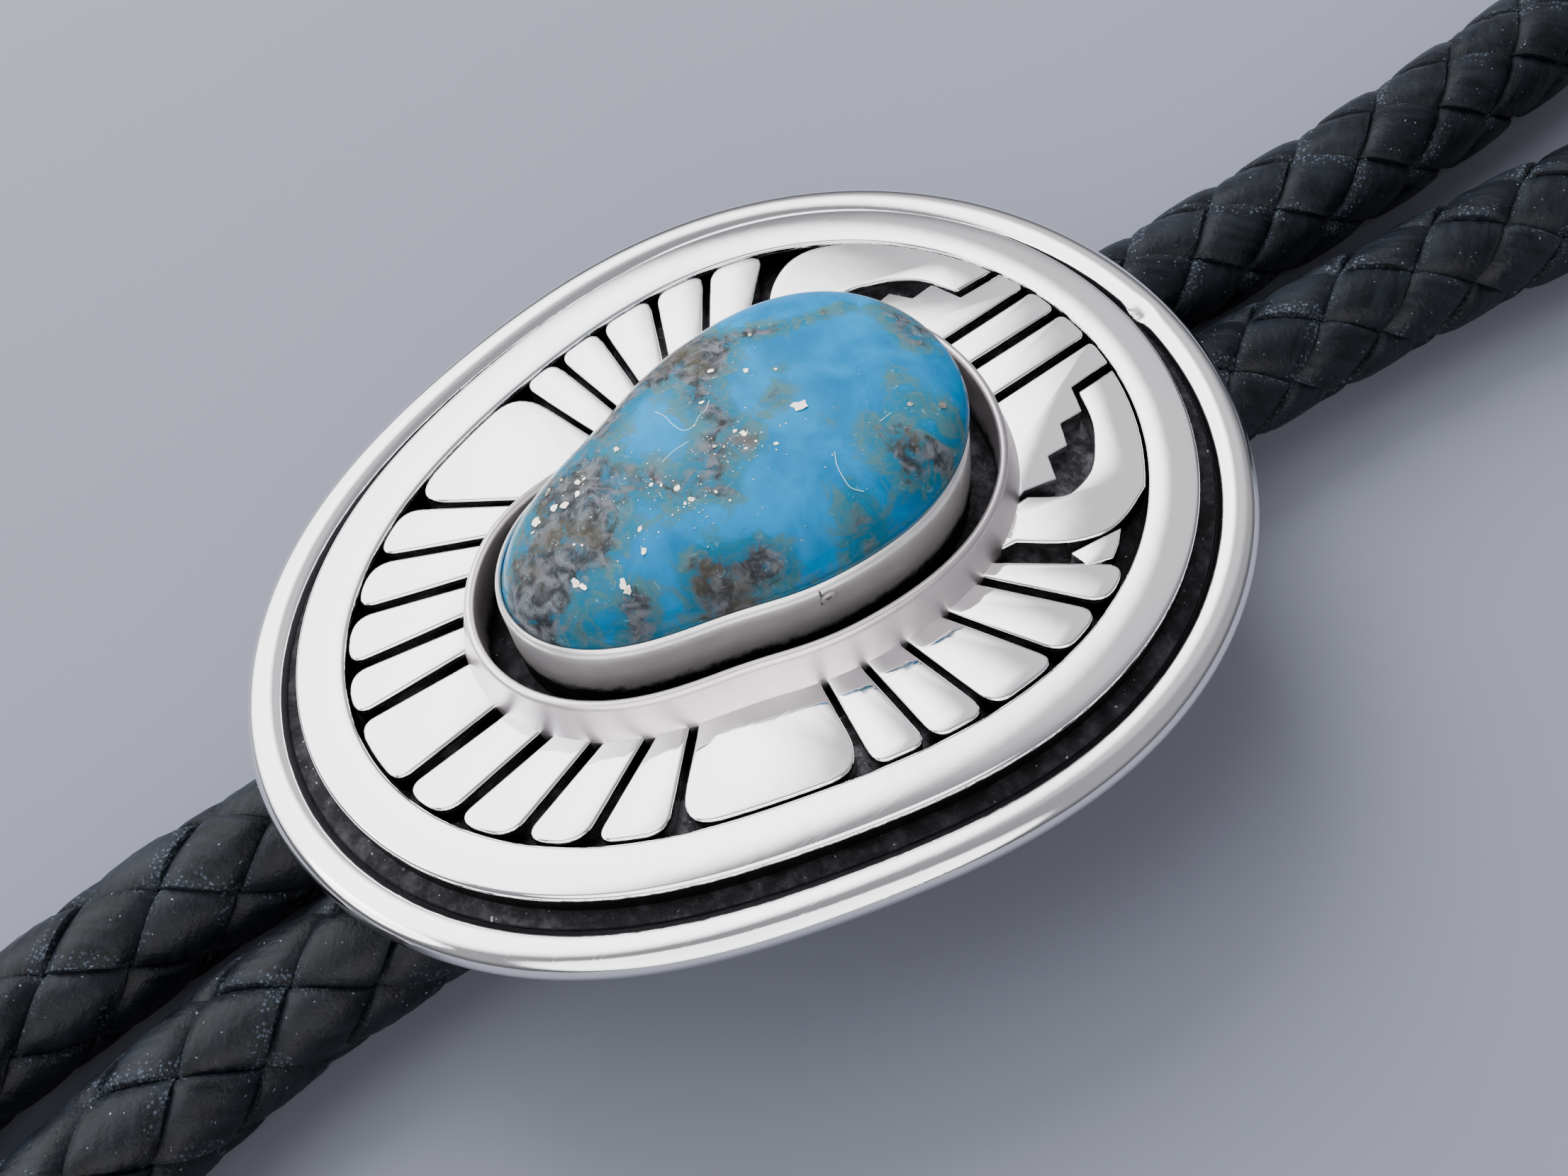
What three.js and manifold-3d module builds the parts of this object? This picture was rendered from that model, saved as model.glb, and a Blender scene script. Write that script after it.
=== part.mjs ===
import * as THREE from "three";
import { mergeVertices } from "three/addons/utils/BufferGeometryUtils.js";
import Module from "manifold-3d";

const wasm = await Module();
wasm.setup();

// A bolo tie: a silver slide with a turquoise stone on two strands of one braided leather cord.
// Millimetres. It lies on its back, +Z up, and +Y runs from the slide towards the neck loop.

// Cord
const cordDiameter = 6.4;
const strandSpacing = 7.2;
const cordSides = 10;

// Clip behind the slide that holds both strands
const clearance = 0.3;
const clipWall = 0.9;
const clipLength = 24;

// Slide, from the back plate up
const borderRadius = 16.18;
const borderWidth = 2.2;
const plateThickness = 1.2;
const overlayThickness = 1.3;
const channelWidth = 0.65;
const rimWidth = 2.05;
const rimHeight = 1.7;
const rimSides = 12;
const seamWidth = 0.14;
const slitWidth = 0.4;
const petalCorner = 0.0525 * borderRadius;
const solderDepth = 0.3;

// Stone, its bezel and the collar that stands round them
const stoneRadius = 8.75;
const bezelWall = 0.4;
const bezelHeight = 3.4;
const stoneGap = 0.3;
const domeHeight = 2.9;
const collarChannel = 1.25;
const collarTopWall = 0.4;
const collarFlare = 0.5;
const collarHeight = 1.95;

// Cord tips
const tipRadius = 3.75;
const tipLength = 36;
const tipSides = 20;

// The slide's and the stone's outlines. Each wave is a share of the mean radius for one, two,
// three, four and five rounds of the cosine, and lean turns the long axis a little clockwise.
const borderEgg = { radius: borderRadius, waves: [0.032, 0.15, -0.0345, 0.0065, -0.003], lean: 0.0165 };
const stoneEgg = { radius: stoneRadius, waves: [0.052, 0.232, -0.062, 0.033, -0.02], lean: 0 };
const eggSteps = 72;

// Slits between the feather petals, clockwise from +Y in degrees: where each one meets the border
// and the collar, and how round the petals' corners before and after it are, in petalCorners.
const petalSlits = [
  { border: 46.3, foot: 45.7, before: 1, after: 1.1 },
  { border: 55.0, foot: 51.5, before: 1, after: 1.1 },
  { border: 65.4, foot: 62.8, before: 1, after: 1 },
  { border: 79.3, foot: 75.8, before: 1, after: 1 },
  { border: 90.4, foot: 88.8, before: 0.9, after: 0.9 },
  { border: 101.7, foot: 101.5, before: 0.9, after: 2.2 },
  { border: 135.3, foot: 142.0, before: 2.2, after: 1 },
  { border: 147.0, foot: 150.2, before: 1, after: 1.1 },
  { border: 156.6, foot: 159.0, before: 1.1, after: 1 },
  { border: 166.0, foot: 167.0, before: 1, after: 1 },
  { border: 174.4, foot: 175.5, before: 0.9, after: 0.8 },
  { border: 186.5, foot: 186.2, before: 0.8, after: 0.9 },
  { border: 194.6, foot: 192.8, before: 1, after: 1 },
  { border: 203.5, foot: 200.5, before: 1, after: 1.1 },
  { border: 212.6, foot: 209.5, before: 1.1, after: 1.1 },
  { border: 222.9, foot: 220.3, before: 1, after: 2.2 },
  { border: 253.8, foot: 253.5, before: 2.2, after: 0.9 },
  { border: 263.2, foot: 265.8, before: 0.9, after: 0.9 },
  { border: 274.1, foot: 276.2, before: 0.9, after: 0.9 },
  { border: 286.7, foot: 286.5, before: 0.9, after: 0.9 },
  { border: 297.9, foot: 298.8, before: 1, after: 1 },
  { border: 309.2, foot: 310.2, before: 1.1, after: 1 },
];

// The same for the bars at the top, between the two crooked feathers.
const barSlits = [
  { border: -7.0, foot: -9.5, before: 0.4, after: 0.4 },
  { border: -0.8, foot: -1.2, before: 0.5, after: 0.5 },
  { border: 5.9, foot: 8.2, before: 0.4, after: 0.4 },
];

// The crooked feather on each side of the bars and the stepped block inside it. A point is an
// angle as above and its share of the way from the collar's foot to the border. The slit and the
// feet are angles too, and reach is the angle where the outer edge leaves the border.
const crooks = [
  {
    slit: 11.8,
    reach: 33.5,
    feet: [33.5, 45],
    outer: [[33.5, 1], [38.1, 0.887], [41, 0.763], [42.6, 0.52], [41.9, 0.144]],
    inner: [
      [31.5, 0.12], [32.6, 0.379], [31.5, 0.492], [28.6, 0.597], [24.7, 0.64], [19.7, 0.676],
      [13.8, 0.673],
    ],
    steps: [
      [12.5, 0.641], [17.4, 0.627], [18.3, 0.437], [22.9, 0.441], [23.9, 0.281], [29, 0.335],
      [30.2, 0.095],
    ],
    bar: barSlits[2],
  },
  {
    slit: -12.9,
    reach: -38,
    feet: [-34, -49],
    outer: [
      [-38, 1], [-41.6, 0.975], [-44.6, 0.919], [-46.9, 0.789], [-47.9, 0.567], [-47.1, 0.27],
    ],
    inner: [
      [-32.2, 0.134], [-32.8, 0.344], [-31.6, 0.435], [-29.2, 0.505], [-26.6, 0.576],
      [-23.1, 0.637], [-20.1, 0.66], [-15.3, 0.663],
    ],
    steps: [
      [-14, 0.618], [-19.6, 0.633], [-20.8, 0.436], [-25, 0.428], [-26.1, 0.266],
      [-30.7, 0.319], [-30.9, 0.11],
    ],
    bar: barSlits[0],
  },
];

// The torn corner of the petal beside the right-hand crook, as angles and shares again.
const horn = [[44.9, 0.571], [40.4, 0.867], [43.4, 0.885], [46, 0.885], [47.4, 0.735]];

// The stone's dome, from its girdle to its crown: each ring's width and rise as shares.
const domeRings = [
  { width: 1, rise: 0 },
  { width: 0.985, rise: 0.28 },
  { width: 0.94, rise: 0.53 },
  { width: 0.84, rise: 0.76 },
  { width: 0.66, rise: 0.91 },
  { width: 0.38, rise: 0.985 },
];

// One strand's way round the neck loop, and each free end's way down to its tip.
const neckRoute = [
  [-3.6, 0.15, 4.4], [-3.6, 13, 4.4], [-3.6, 22, 3.7], [-3.6, 31, 3.25], [-3.1, 45, 3.25],
  [-3.6, 59, 3.25], [-5.4, 77, 3.25], [-8, 97, 3.25], [-10.8, 121, 3.25], [-13.2, 148, 3.25],
  [-14.8, 176, 3.25], [-15.5, 204, 3.25], [-15.5, 228.5, 3.25], [-11, 239.5, 3.25], [0, 244, 3.25],
  [11, 239.5, 3.25], [15.5, 228.5, 3.25], [15.6, 204, 3.25], [15.2, 176, 3.25], [14.2, 148, 3.25],
  [12.8, 121, 3.25], [11.2, 97, 3.25], [9.7, 77, 3.25], [8, 59, 3.25], [5.5, 43, 3.25],
  [4.1, 31, 3.25], [3.6, 22, 3.7], [3.6, 13, 4.4], [3.6, 0.15, 4.4],
];
const tailRoutes = {
  left: [
    [-3.6, -0.15, 4.4], [-3.6, -13, 4.4], [-4, -21, 3.7], [-4.5, -29, 3.25], [-3.9, -36, 3.35],
    [-3.1, -43, 3.75],
  ],
  right: [
    [3.6, -0.15, 4.4], [3.6, -13, 4.4], [3.2, -21, 3.7], [3.1, -29, 3.25], [4.2, -36, 3.35],
    [5.7, -43, 3.75],
  ],
};

// Heights, from the surface that the clip lies on
const clipHeight = 2 * clipWall + 2 * clearance + cordDiameter;
const plateBottom = clipHeight + clearance;
const plateTop = plateBottom + plateThickness;
const overlayTop = plateTop + overlayThickness;
const rimMiddle = plateBottom + rimHeight / 2;
const collarTop = overlayTop + collarHeight;
const bezelTop = overlayTop + bezelHeight;

// Distances outwards from the border's inner edge and from the stone's outline
const rimCentre = borderWidth + channelWidth + rimWidth / 2;
const rimReach = rimCentre + rimWidth / 2;
const collarInner = collarChannel;
const collarOuter = collarInner + collarTopWall;
const collarBase = collarOuter + collarFlare;
const footInset = collarBase - solderDepth;

const materials = {
  silver: { color: 0xdcdcde, roughness: 0.16, metalness: 1 },
  turquoise: { color: 0x2a8fc0, roughness: 0.22, metalness: 0 },
  leather: { color: 0x17181b, roughness: 0.5, metalness: 0 },
  steel: { color: 0xb9bbbe, roughness: 0.3, metalness: 1 },
};

const radians = THREE.MathUtils.degToRad;

// A point of an outline at an angle clockwise from +Y, moved outwards along its normal.
function eggPoint(egg, angle, outward = 0) {
  const place = (turn) => {
    const rounds = egg.waves.reduce((sum, share, k) => sum + share * Math.cos((k + 1) * turn), 1);
    const reach = egg.radius * (rounds + egg.lean * Math.sin(2 * turn));
    return new THREE.Vector2(Math.sin(turn), Math.cos(turn)).multiplyScalar(reach);
  };
  const nudge = 0.001;
  const along = place(angle + nudge).sub(place(angle - nudge)).normalize();
  return place(angle).add(new THREE.Vector2(-along.y, along.x).multiplyScalar(outward));
}

// Points of an outline from one angle to another, both in radians.
function eggArc(egg, from, to, outward, steps) {
  const angles = Array.from({ length: steps + 1 }, (_, i) => from + ((to - from) * i) / steps);
  return angles.map((angle) => eggPoint(egg, angle, outward));
}

function outlineBox(egg, outward) {
  return new THREE.Box2().setFromPoints(eggArc(egg, 0, 2 * Math.PI, outward, 4 * eggSteps));
}

// A closed ring along an outline. Its section's points are [outwards, height], anticlockwise.
function ringAlong(egg, section, steps = eggSteps) {
  const corners = [];
  const faces = [];
  const count = section.length;
  for (let i = 0; i < steps; i++) {
    for (const [outward, height] of section) {
      const spot = eggPoint(egg, (2 * Math.PI * i) / steps, outward);
      corners.push(spot.x, spot.y, height);
    }
  }
  for (let i = 0; i < steps; i++) {
    for (let j = 0; j < count; j++) {
      const here = i * count + j;
      const up = i * count + ((j + 1) % count);
      const on = ((i + 1) % steps) * count + j;
      const both = ((i + 1) % steps) * count + ((j + 1) % count);
      faces.push(here, up, both, here, both, on);
    }
  }
  const geometry = new THREE.BufferGeometry();
  geometry.setAttribute("position", new THREE.Float32BufferAttribute(corners, 3));
  geometry.setIndex(faces);
  return geometry;
}

// A closed solid through rings of equal count, one above the other, with a flat floor and a peak.
function loftRings(rings, peak) {
  const count = rings[0].length;
  const corners = rings.flat().flatMap((p) => [p.x, p.y, p.z]);
  const faces = [];
  const floor = rings.length * count;
  corners.push(0, 0, rings[0][0].z, 0, 0, peak);
  for (let j = 0; j < count; j++) {
    const next = (j + 1) % count;
    for (let i = 0; i + 1 < rings.length; i++) {
      const low = i * count;
      const high = low + count;
      faces.push(low + j, high + j, high + next, low + j, high + next, low + next);
    }
    const last = (rings.length - 1) * count;
    faces.push(floor, j, next, last + j, floor + 1, last + next);
  }
  const geometry = new THREE.BufferGeometry();
  geometry.setAttribute("position", new THREE.Float32BufferAttribute(corners, 3));
  geometry.setIndex(faces);
  return geometry;
}

function extruded(points, bottom, top, holes = []) {
  const shape = new THREE.Shape(points);
  shape.holes = holes.map((hole) => new THREE.Path(hole));
  const geometry = new THREE.ExtrudeGeometry(shape, { depth: top - bottom, bevelEnabled: false });
  return geometry.translate(0, 0, bottom);
}

function solid(geometry) {
  const bare = geometry.clone();
  bare.deleteAttribute("normal");
  bare.deleteAttribute("uv");
  const merged = mergeVertices(bare, 1e-4);
  return new wasm.Manifold(new wasm.Mesh({
    numProp: 3,
    vertProperties: new Float32Array(merged.attributes.position.array),
    triVerts: new Uint32Array(merged.index.array),
  }));
}

function joined(geometries) {
  const whole = geometries.map(solid).reduce((sum, piece) => sum.add(piece));
  const { vertProperties, triVerts } = whole.getMesh();
  const geometry = new THREE.BufferGeometry();
  geometry.setAttribute("position", new THREE.BufferAttribute(vertProperties, 3));
  geometry.setIndex(new THREE.BufferAttribute(triVerts, 1));
  return geometry;
}

// Points from angles in degrees and shares of the way from the collar's foot to the border.
function between(pairs) {
  return pairs.map(([angle, share]) => {
    const edge = eggPoint(borderEgg, radians(angle), -seamWidth);
    return eggPoint(stoneEgg, radians(angle), footInset).lerp(edge, share);
  });
}

const smooth = (pairs, steps = 10) => new THREE.SplineCurve(between(pairs)).getPoints(steps);

// How far half a slit turns at the border and at the collar's foot
const halfAtBorder = slitWidth / 2 / borderRadius;
const halfAtFoot = slitWidth / 2 / (stoneRadius + collarBase);

// The edge of a petal beside one slit, from the foot to the border, round the corner.
// side is 1 for the petal that follows the slit clockwise and -1 for the one before it.
function petalSide(slit, side) {
  const corner = petalCorner * (side > 0 ? slit.after : slit.before);
  const turn = radians(slit.border) + side * halfAtBorder;
  const foot = eggPoint(stoneEgg, radians(slit.foot) + side * halfAtFoot, footInset);
  const tip = eggPoint(borderEgg, turn, -seamWidth);
  const start = foot.clone().sub(tip).setLength(corner).add(tip);
  const endTurn = turn + (side * corner) / borderRadius;
  const end = eggPoint(borderEgg, endTurn, -seamWidth);
  const round = new THREE.QuadraticBezierCurve(start, tip, end).getPoints(4);
  return { points: [foot, ...round], endTurn, footTurn: radians(slit.foot) + side * halfAtFoot };
}

// A feather petal: the flat between two slits, from the collar to the border.
function petal(first, second) {
  const left = petalSide(first, 1);
  const right = petalSide(second, -1);
  const steps = Math.max(2, Math.round((right.endTurn - left.endTurn) / 0.12));
  const outside = eggArc(borderEgg, left.endTurn, right.endTurn, -seamWidth, steps).slice(1, -1);
  const inside = eggArc(stoneEgg, right.footTurn, left.footTurn, footInset, steps).slice(1, -1);
  return [...left.points, ...outside, ...right.points.reverse(), ...inside];
}

// The crooked feather: along the border from its short slit, then round and back to the collar.
function crookedFeather(crook) {
  const side = Math.sign(crook.slit);
  const start = radians(crook.slit) + side * halfAtBorder;
  const alongBorder = eggArc(borderEgg, start, radians(crook.reach), -seamWidth, 5);
  const [near, far] = crook.feet;
  const inCollar = eggArc(stoneEgg, radians(far), radians(near), footInset, 3);
  return [...alongBorder, ...smooth(crook.outer).slice(1), ...inCollar, ...smooth(crook.inner, 12)];
}

// The stepped block inside a crooked feather, with the bar end beside the short slit.
function steppedBlock(crook) {
  const side = Math.sign(crook.slit);
  const beside = petalSide(crook.bar, side);
  const end = radians(crook.slit) - side * halfAtBorder;
  const outside = eggArc(borderEgg, beside.endTurn, end, -seamWidth, 2).slice(1);
  const inCollar = eggArc(stoneEgg, radians(crook.feet[0]), beside.footTurn, footInset, 4).slice(0, -1);
  return [...beside.points, ...outside, ...between(crook.steps), ...inCollar];
}

function anticlockwise(points) {
  return THREE.ShapeUtils.isClockWise(points) ? [...points].reverse() : points;
}

function overlayPiece(points) {
  return extruded(anticlockwise(points), plateTop - solderDepth, overlayTop);
}

// The soldered slide: back plate, rim wire, border, petals, crooks, collar and bezel.
function slideGeometry() {
  const plate = eggArc(borderEgg, 0, 2 * Math.PI, rimCentre, eggSteps).slice(0, -1);
  const rim = Array.from({ length: rimSides }, (_, i) => {
    const turn = (2 * Math.PI * (i + 0.5)) / rimSides;
    return [rimCentre + (Math.cos(turn) * rimWidth) / 2, rimMiddle + (Math.sin(turn) * rimHeight) / 2];
  });
  const seat = plateTop - solderDepth;
  const border = [[0, seat], [borderWidth, seat], [borderWidth, overlayTop], [0, overlayTop]];
  const collar = [
    [collarInner, seat], [collarBase, seat], [collarBase, overlayTop],
    [collarOuter, collarTop], [collarInner, collarTop],
  ];
  const bezel = [[-bezelWall, seat], [0, seat], [0, bezelTop], [-bezelWall, bezelTop]];
  const petals = petalSlits.slice(1).map((slit, i) => petal(petalSlits[i], slit));
  const bars = barSlits.slice(1).map((slit, i) => petal(barSlits[i], slit));
  const figures = crooks.flatMap((crook) => [crookedFeather(crook), steppedBlock(crook)]);
  return joined([
    extruded(anticlockwise(plate), plateBottom, plateTop),
    ringAlong(borderEgg, rim),
    ringAlong(borderEgg, border),
    ringAlong(stoneEgg, collar),
    ringAlong(stoneEgg, bezel),
    ...[...petals, ...bars, ...figures].map((points) => overlayPiece(points)),
    overlayPiece(between(horn)),
  ]);
}

// A smooth, freeform cabochon that stands in the bezel with a small gap all round.
function stoneGeometry() {
  const girdle = eggArc(stoneEgg, 0, 2 * Math.PI, -bezelWall - stoneGap, 48).slice(0, -1).reverse();
  const ring = (width, z) => girdle.map((p) => new THREE.Vector3(p.x * width, p.y * width, z));
  const dome = domeRings.map(({ width, rise }) => ring(width, bezelTop + rise * domeHeight));
  const rings = [ring(1, plateTop + stoneGap), ...dome];
  return loftRings(rings.map((points) => [...points].reverse()), bezelTop + domeHeight);
}

// A flat tube of sheet metal that both strands pass through.
function clipGeometry() {
  const roundBox = (grow) => {
    const halfWidth = strandSpacing / 2 + cordDiameter / 2 + clearance + grow;
    const halfHeight = cordDiameter / 2 + clearance + grow;
    const corner = cordDiameter / 2 + grow;
    const flat = halfWidth - corner;
    const path = new THREE.Path();
    path.absarc(flat, halfHeight - corner, corner, 0, Math.PI / 2);
    path.absarc(-flat, halfHeight - corner, corner, Math.PI / 2, Math.PI);
    path.absarc(-flat, corner - halfHeight, corner, Math.PI, 1.5 * Math.PI);
    path.absarc(flat, corner - halfHeight, corner, 1.5 * Math.PI, 2 * Math.PI);
    return path.getPoints(7);
  };
  const tube = extruded(roundBox(clipWall), -clipLength / 2, clipLength / 2, [roundBox(0)]);
  return tube.rotateX(Math.PI / 2).translate(0, 0, clipHeight / 2);
}

// A round strand swept along chosen points, a step every two and a bit diameters.
function cordGeometry(route) {
  const path = new THREE.CatmullRomCurve3(route.map(([x, y, z]) => new THREE.Vector3(x, y, z)));
  const section = new THREE.Shape(Array.from({ length: cordSides }, (_, i) => {
    const turn = (2 * Math.PI * i) / cordSides;
    return new THREE.Vector2(Math.cos(turn), Math.sin(turn)).multiplyScalar(cordDiameter / 2);
  }));
  const steps = Math.max(4, Math.round(path.getLength() / (2.1 * cordDiameter)));
  return new THREE.ExtrudeGeometry(section, { steps, bevelEnabled: false, extrudePath: path });
}

// A plain turned tip: a sleeve with a lip, a long cone and a small ball end.
function tipGeometry() {
  const profile = [
    [0, 0], [tipRadius, 0], [tipRadius, 0.06], [0.9 * tipRadius, 0.1], [0.86 * tipRadius, 0.5],
    [0.5 * tipRadius, 0.93], [0.56 * tipRadius, 0.965], [0.4 * tipRadius, 0.992], [0, 1],
  ];
  const points = profile.map(([radius, share]) => new THREE.Vector2(radius, share * tipLength));
  return new THREE.LatheGeometry(points, tipSides);
}

const tie = new THREE.Group();

function add(name, geometry, material, group = tie) {
  const mesh = new THREE.Mesh(geometry, new THREE.MeshStandardMaterial(materials[material]));
  mesh.name = name;
  group.add(mesh);
  return mesh;
}

// The outlines' centre stands where the rim's own box is centred on the origin.
const slide = new THREE.Group();
const rimMiddlePoint = outlineBox(borderEgg, rimReach).getCenter(new THREE.Vector2());
slide.position.set(-rimMiddlePoint.x, -rimMiddlePoint.y, 0);
tie.add(slide);
add("silver_slide", slideGeometry(), "silver", slide);
add("turquoise_stone", stoneGeometry(), "turquoise", slide);
add("cord_clip", clipGeometry(), "steel");
add("neck_cord", cordGeometry(neckRoute), "leather");

for (const [side, route] of Object.entries(tailRoutes)) {
  add(`${side}_tail_cord`, cordGeometry(route), "leather");
  const [before, end] = route.slice(-2).map(([x, y, z]) => new THREE.Vector3(x, y, z));
  const direction = end.clone().sub(before).setZ(0).normalize();
  const tip = add(`${side}_tip`, tipGeometry(), "silver");
  tip.quaternion.setFromUnitVectors(new THREE.Vector3(0, 1, 0), direction);
  tip.position.copy(end).addScaledVector(direction, clearance).setZ(tipRadius);
}

export default tie;
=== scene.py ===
import bpy
import math
import random
import numpy as np
from mathutils import Matrix, Vector


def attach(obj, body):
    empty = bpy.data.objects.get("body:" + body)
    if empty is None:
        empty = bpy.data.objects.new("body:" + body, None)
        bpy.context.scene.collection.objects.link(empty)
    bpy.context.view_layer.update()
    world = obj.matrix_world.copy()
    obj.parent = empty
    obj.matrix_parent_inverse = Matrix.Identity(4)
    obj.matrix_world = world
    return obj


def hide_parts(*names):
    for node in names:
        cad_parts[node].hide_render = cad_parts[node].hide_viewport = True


# A bolo tie: a silver slide with a turquoise stone on a braided leather cord.
# Lengths are given in millimetres and go into each mesh in metres.
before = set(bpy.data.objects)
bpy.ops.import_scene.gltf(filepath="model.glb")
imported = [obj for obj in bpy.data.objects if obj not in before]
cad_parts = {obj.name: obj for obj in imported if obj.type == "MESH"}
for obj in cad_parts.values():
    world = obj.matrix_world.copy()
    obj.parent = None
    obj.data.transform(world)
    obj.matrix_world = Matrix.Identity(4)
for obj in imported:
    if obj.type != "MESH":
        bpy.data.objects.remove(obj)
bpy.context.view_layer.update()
mm = 0.001
random.seed(7)


# The photo's view: its place, and the picture's own axes
photoView = {
    "place": (37.35, -16.79, 70.27),
    "right": (0.5777, 0.8095, -0.1042),
    "down": (0.6592, -0.5381, -0.5253),
    "forward": (-0.4813, 0.2348, -0.8445),
    "focal": 2275.86 / 2212 * 36,
    "sensor": 36,
    "nearest": 2,
}


def placeCamera(view):
    lens = bpy.data.cameras.new("photoCamera")
    lens.sensor_width = view["sensor"]
    lens.lens = view["focal"]
    lens.clip_start = view["nearest"] * mm
    camera = bpy.data.objects.new("photoCamera", lens)
    bpy.context.scene.collection.objects.link(camera)
    axes = Matrix((view["right"], [-v for v in view["down"]], [-v for v in view["forward"]]))
    place = Matrix.Translation(Vector(view["place"]) * mm)
    camera.matrix_world = place @ axes.transposed().to_4x4()
    bpy.context.scene.camera = camera


placeCamera(photoView)
print("camera placed")


def deselectAll():
    if bpy.context.object and bpy.context.object.mode != "OBJECT":
        bpy.ops.object.mode_set(mode="OBJECT")
    bpy.ops.object.select_all(action="DESELECT")


def pick(piece):
    deselectAll()
    piece.select_set(True)
    bpy.context.view_layer.objects.active = piece


def startEdit(selection="SELECT"):
    bpy.ops.object.mode_set(mode="EDIT")
    bpy.ops.mesh.select_all(action=selection)


def endEdit():
    bpy.ops.object.mode_set(mode="OBJECT")


# Ends the edit with every face pointing outwards.
def endEditFacingOut():
    bpy.ops.mesh.select_all(action="SELECT")
    bpy.ops.mesh.normals_make_consistent(inside=False)
    endEdit()


def faceOutwards(piece):
    pick(piece)
    startEdit()
    endEditFacingOut()


def extrudeFaces(distance):
    bpy.ops.mesh.extrude_region_move(TRANSFORM_OT_translate={"value": (0, 0, distance)})


def extrudeEdges(distance):
    bpy.ops.mesh.extrude_edges_move(TRANSFORM_OT_translate={"value": (0, 0, distance)})


# Gives each point of a mesh a value that its material reads.
def markPoints(mesh, label, values):
    field = mesh.attributes.new(label, "FLOAT", "POINT")
    field.data.foreach_set("value", np.array(values, dtype=np.float32))


def roundEdges(piece, width, sharpest=40):
    bevel = piece.modifiers.new("edges", "BEVEL")
    bevel.width = width * mm
    bevel.segments = 3
    bevel.limit_method = "ANGLE"
    bevel.angle_limit = math.radians(sharpest)
    bevel.use_clamp_overlap = False
    pick(piece)
    bpy.ops.object.modifier_apply(modifier=bevel.name)


def shadeSmooth(piece, angle=35):
    pick(piece)
    bpy.ops.object.shade_smooth_by_angle(angle=math.radians(angle))


def joinPieces(pieces, name):
    deselectAll()
    for piece in pieces:
        piece.select_set(True)
    bpy.context.view_layer.objects.active = pieces[0]
    if len(pieces) > 1:
        bpy.ops.object.join()
    joined = bpy.context.object
    joined.name = name
    joined.data.name = name
    return joined


def dress(piece, material, slot, *nodes):
    piece.data.materials.clear()
    piece.data.materials.append(material)
    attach(piece, "root")
    if nodes:
        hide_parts(*nodes)


def addNode(tree, kind, links=None, **settings):
    made = tree.nodes.new("ShaderNode" + kind)
    for name, value in settings.items():
        setattr(made, name, value)
    for socket, source in (links or {}).items():
        if isinstance(source, bpy.types.NodeSocket):
            tree.links.new(source, made.inputs[socket])
        else:
            made.inputs[socket].default_value = source
    return made


# A material, with short ways to add its nodes
class Finish:
    def __init__(self, name, **surface):
        self.material = bpy.data.materials.new(name)
        self.material.use_nodes = True
        self.tree = self.material.node_tree
        self.shader = self.tree.nodes["Principled BSDF"]
        for socket, value in surface.items():
            self.shader.inputs[socket.replace("_", " ")].default_value = value

    def node(self, kind, links=None, **settings):
        return addNode(self.tree, kind, links, **settings)

    def millimetres(self, turn=(0, 0, 0), stretch=(1, 1, 1)):
        place = self.node("TexCoord").outputs["Object"]
        scale = [share / mm for share in stretch]
        return self.node("Mapping", {"Vector": place, "Rotation": turn, "Scale": scale}).outputs[0]

    def field(self, name):
        return self.node("Attribute", attribute_name=name).outputs["Fac"]

    def upward(self, vector):
        return self.node("SeparateXYZ", {"Vector": vector}).outputs["Z"]

    def noise(self, vector, scale, detail=3, rough=0.5, distort=0.0):
        links = {
            "Vector": vector, "Scale": scale, "Detail": detail, "Roughness": rough,
            "Distortion": distort,
        }
        return self.node("TexNoise", links).outputs["Fac"]

    def cells(self, vector, scale):
        return self.node("TexVoronoi", {"Vector": vector, "Scale": scale}).outputs["Distance"]

    def ramp(self, value, low, high, toLow=0.0, toHigh=1.0):
        links = {
            "Value": value, "From Min": low, "From Max": high, "To Min": toLow, "To Max": toHigh,
        }
        return self.node("MapRange", links, interpolation_type="SMOOTHSTEP").outputs[0]

    def math(self, operation, first, second):
        return self.node("Math", {0: first, 1: second}, operation=operation).outputs[0]

    def times(self, first, second):
        return self.math("MULTIPLY", first, second)

    def plus(self, first, second):
        return self.math("ADD", first, second)

    def mix(self, share, first, second):
        return self.node("Mix", {0: share, 6: first, 7: second}, data_type="RGBA").outputs[2]

    def bump(self, height, strength, distance, under=None):
        links = {"Height": height, "Strength": strength, "Distance": distance * mm}
        if under:
            links["Normal"] = under
        return self.node("Bump", links).outputs[0]

    def wire(self, source, socket):
        self.tree.links.new(source, self.shader.inputs[socket])


# Braided leather cord: four flat straps each way, over and under one another round a core
braid = {
    "diameter": 6.4,
    "lead": 23.6,  # one turn of a strap round the cord
    "strapWidth": 3.74,
    "overTop": 3.12,
    "underTop": 2.24,
    "crispness": 2.1,  # how quickly a strap dips under the next
    "unevenness": 0.035,
    "unevenWave": (1.3, 2.3),  # along a strap, and from strap to strap
    "grainShift": (37, 150),  # so that each strap reads its own part of the grain
    "toneShift": (0.37, 0.21),
    "firstStrap": {"neck": 0.3, "left": 0.9, "right": 0.2},  # the angle where it starts
    "core": 2.05,
    "coreSides": 10,
    "coreStep": 2.5,
    "fineStep": 0.36,
    "coarseStep": 1.0,
    "fineEnds": 72,
    # across a strap: share of half its width, and height against its own top
    "section": [
        (-1, -0.3), (-0.95, -0.08), (-0.78, 0.015), (-0.4, 0.06), (0, 0.08), (0.4, 0.06),
        (0.78, 0.015), (0.95, -0.08), (1, -0.3), (0.86, -0.86), (-0.86, -0.86),
    ],
}

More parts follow.
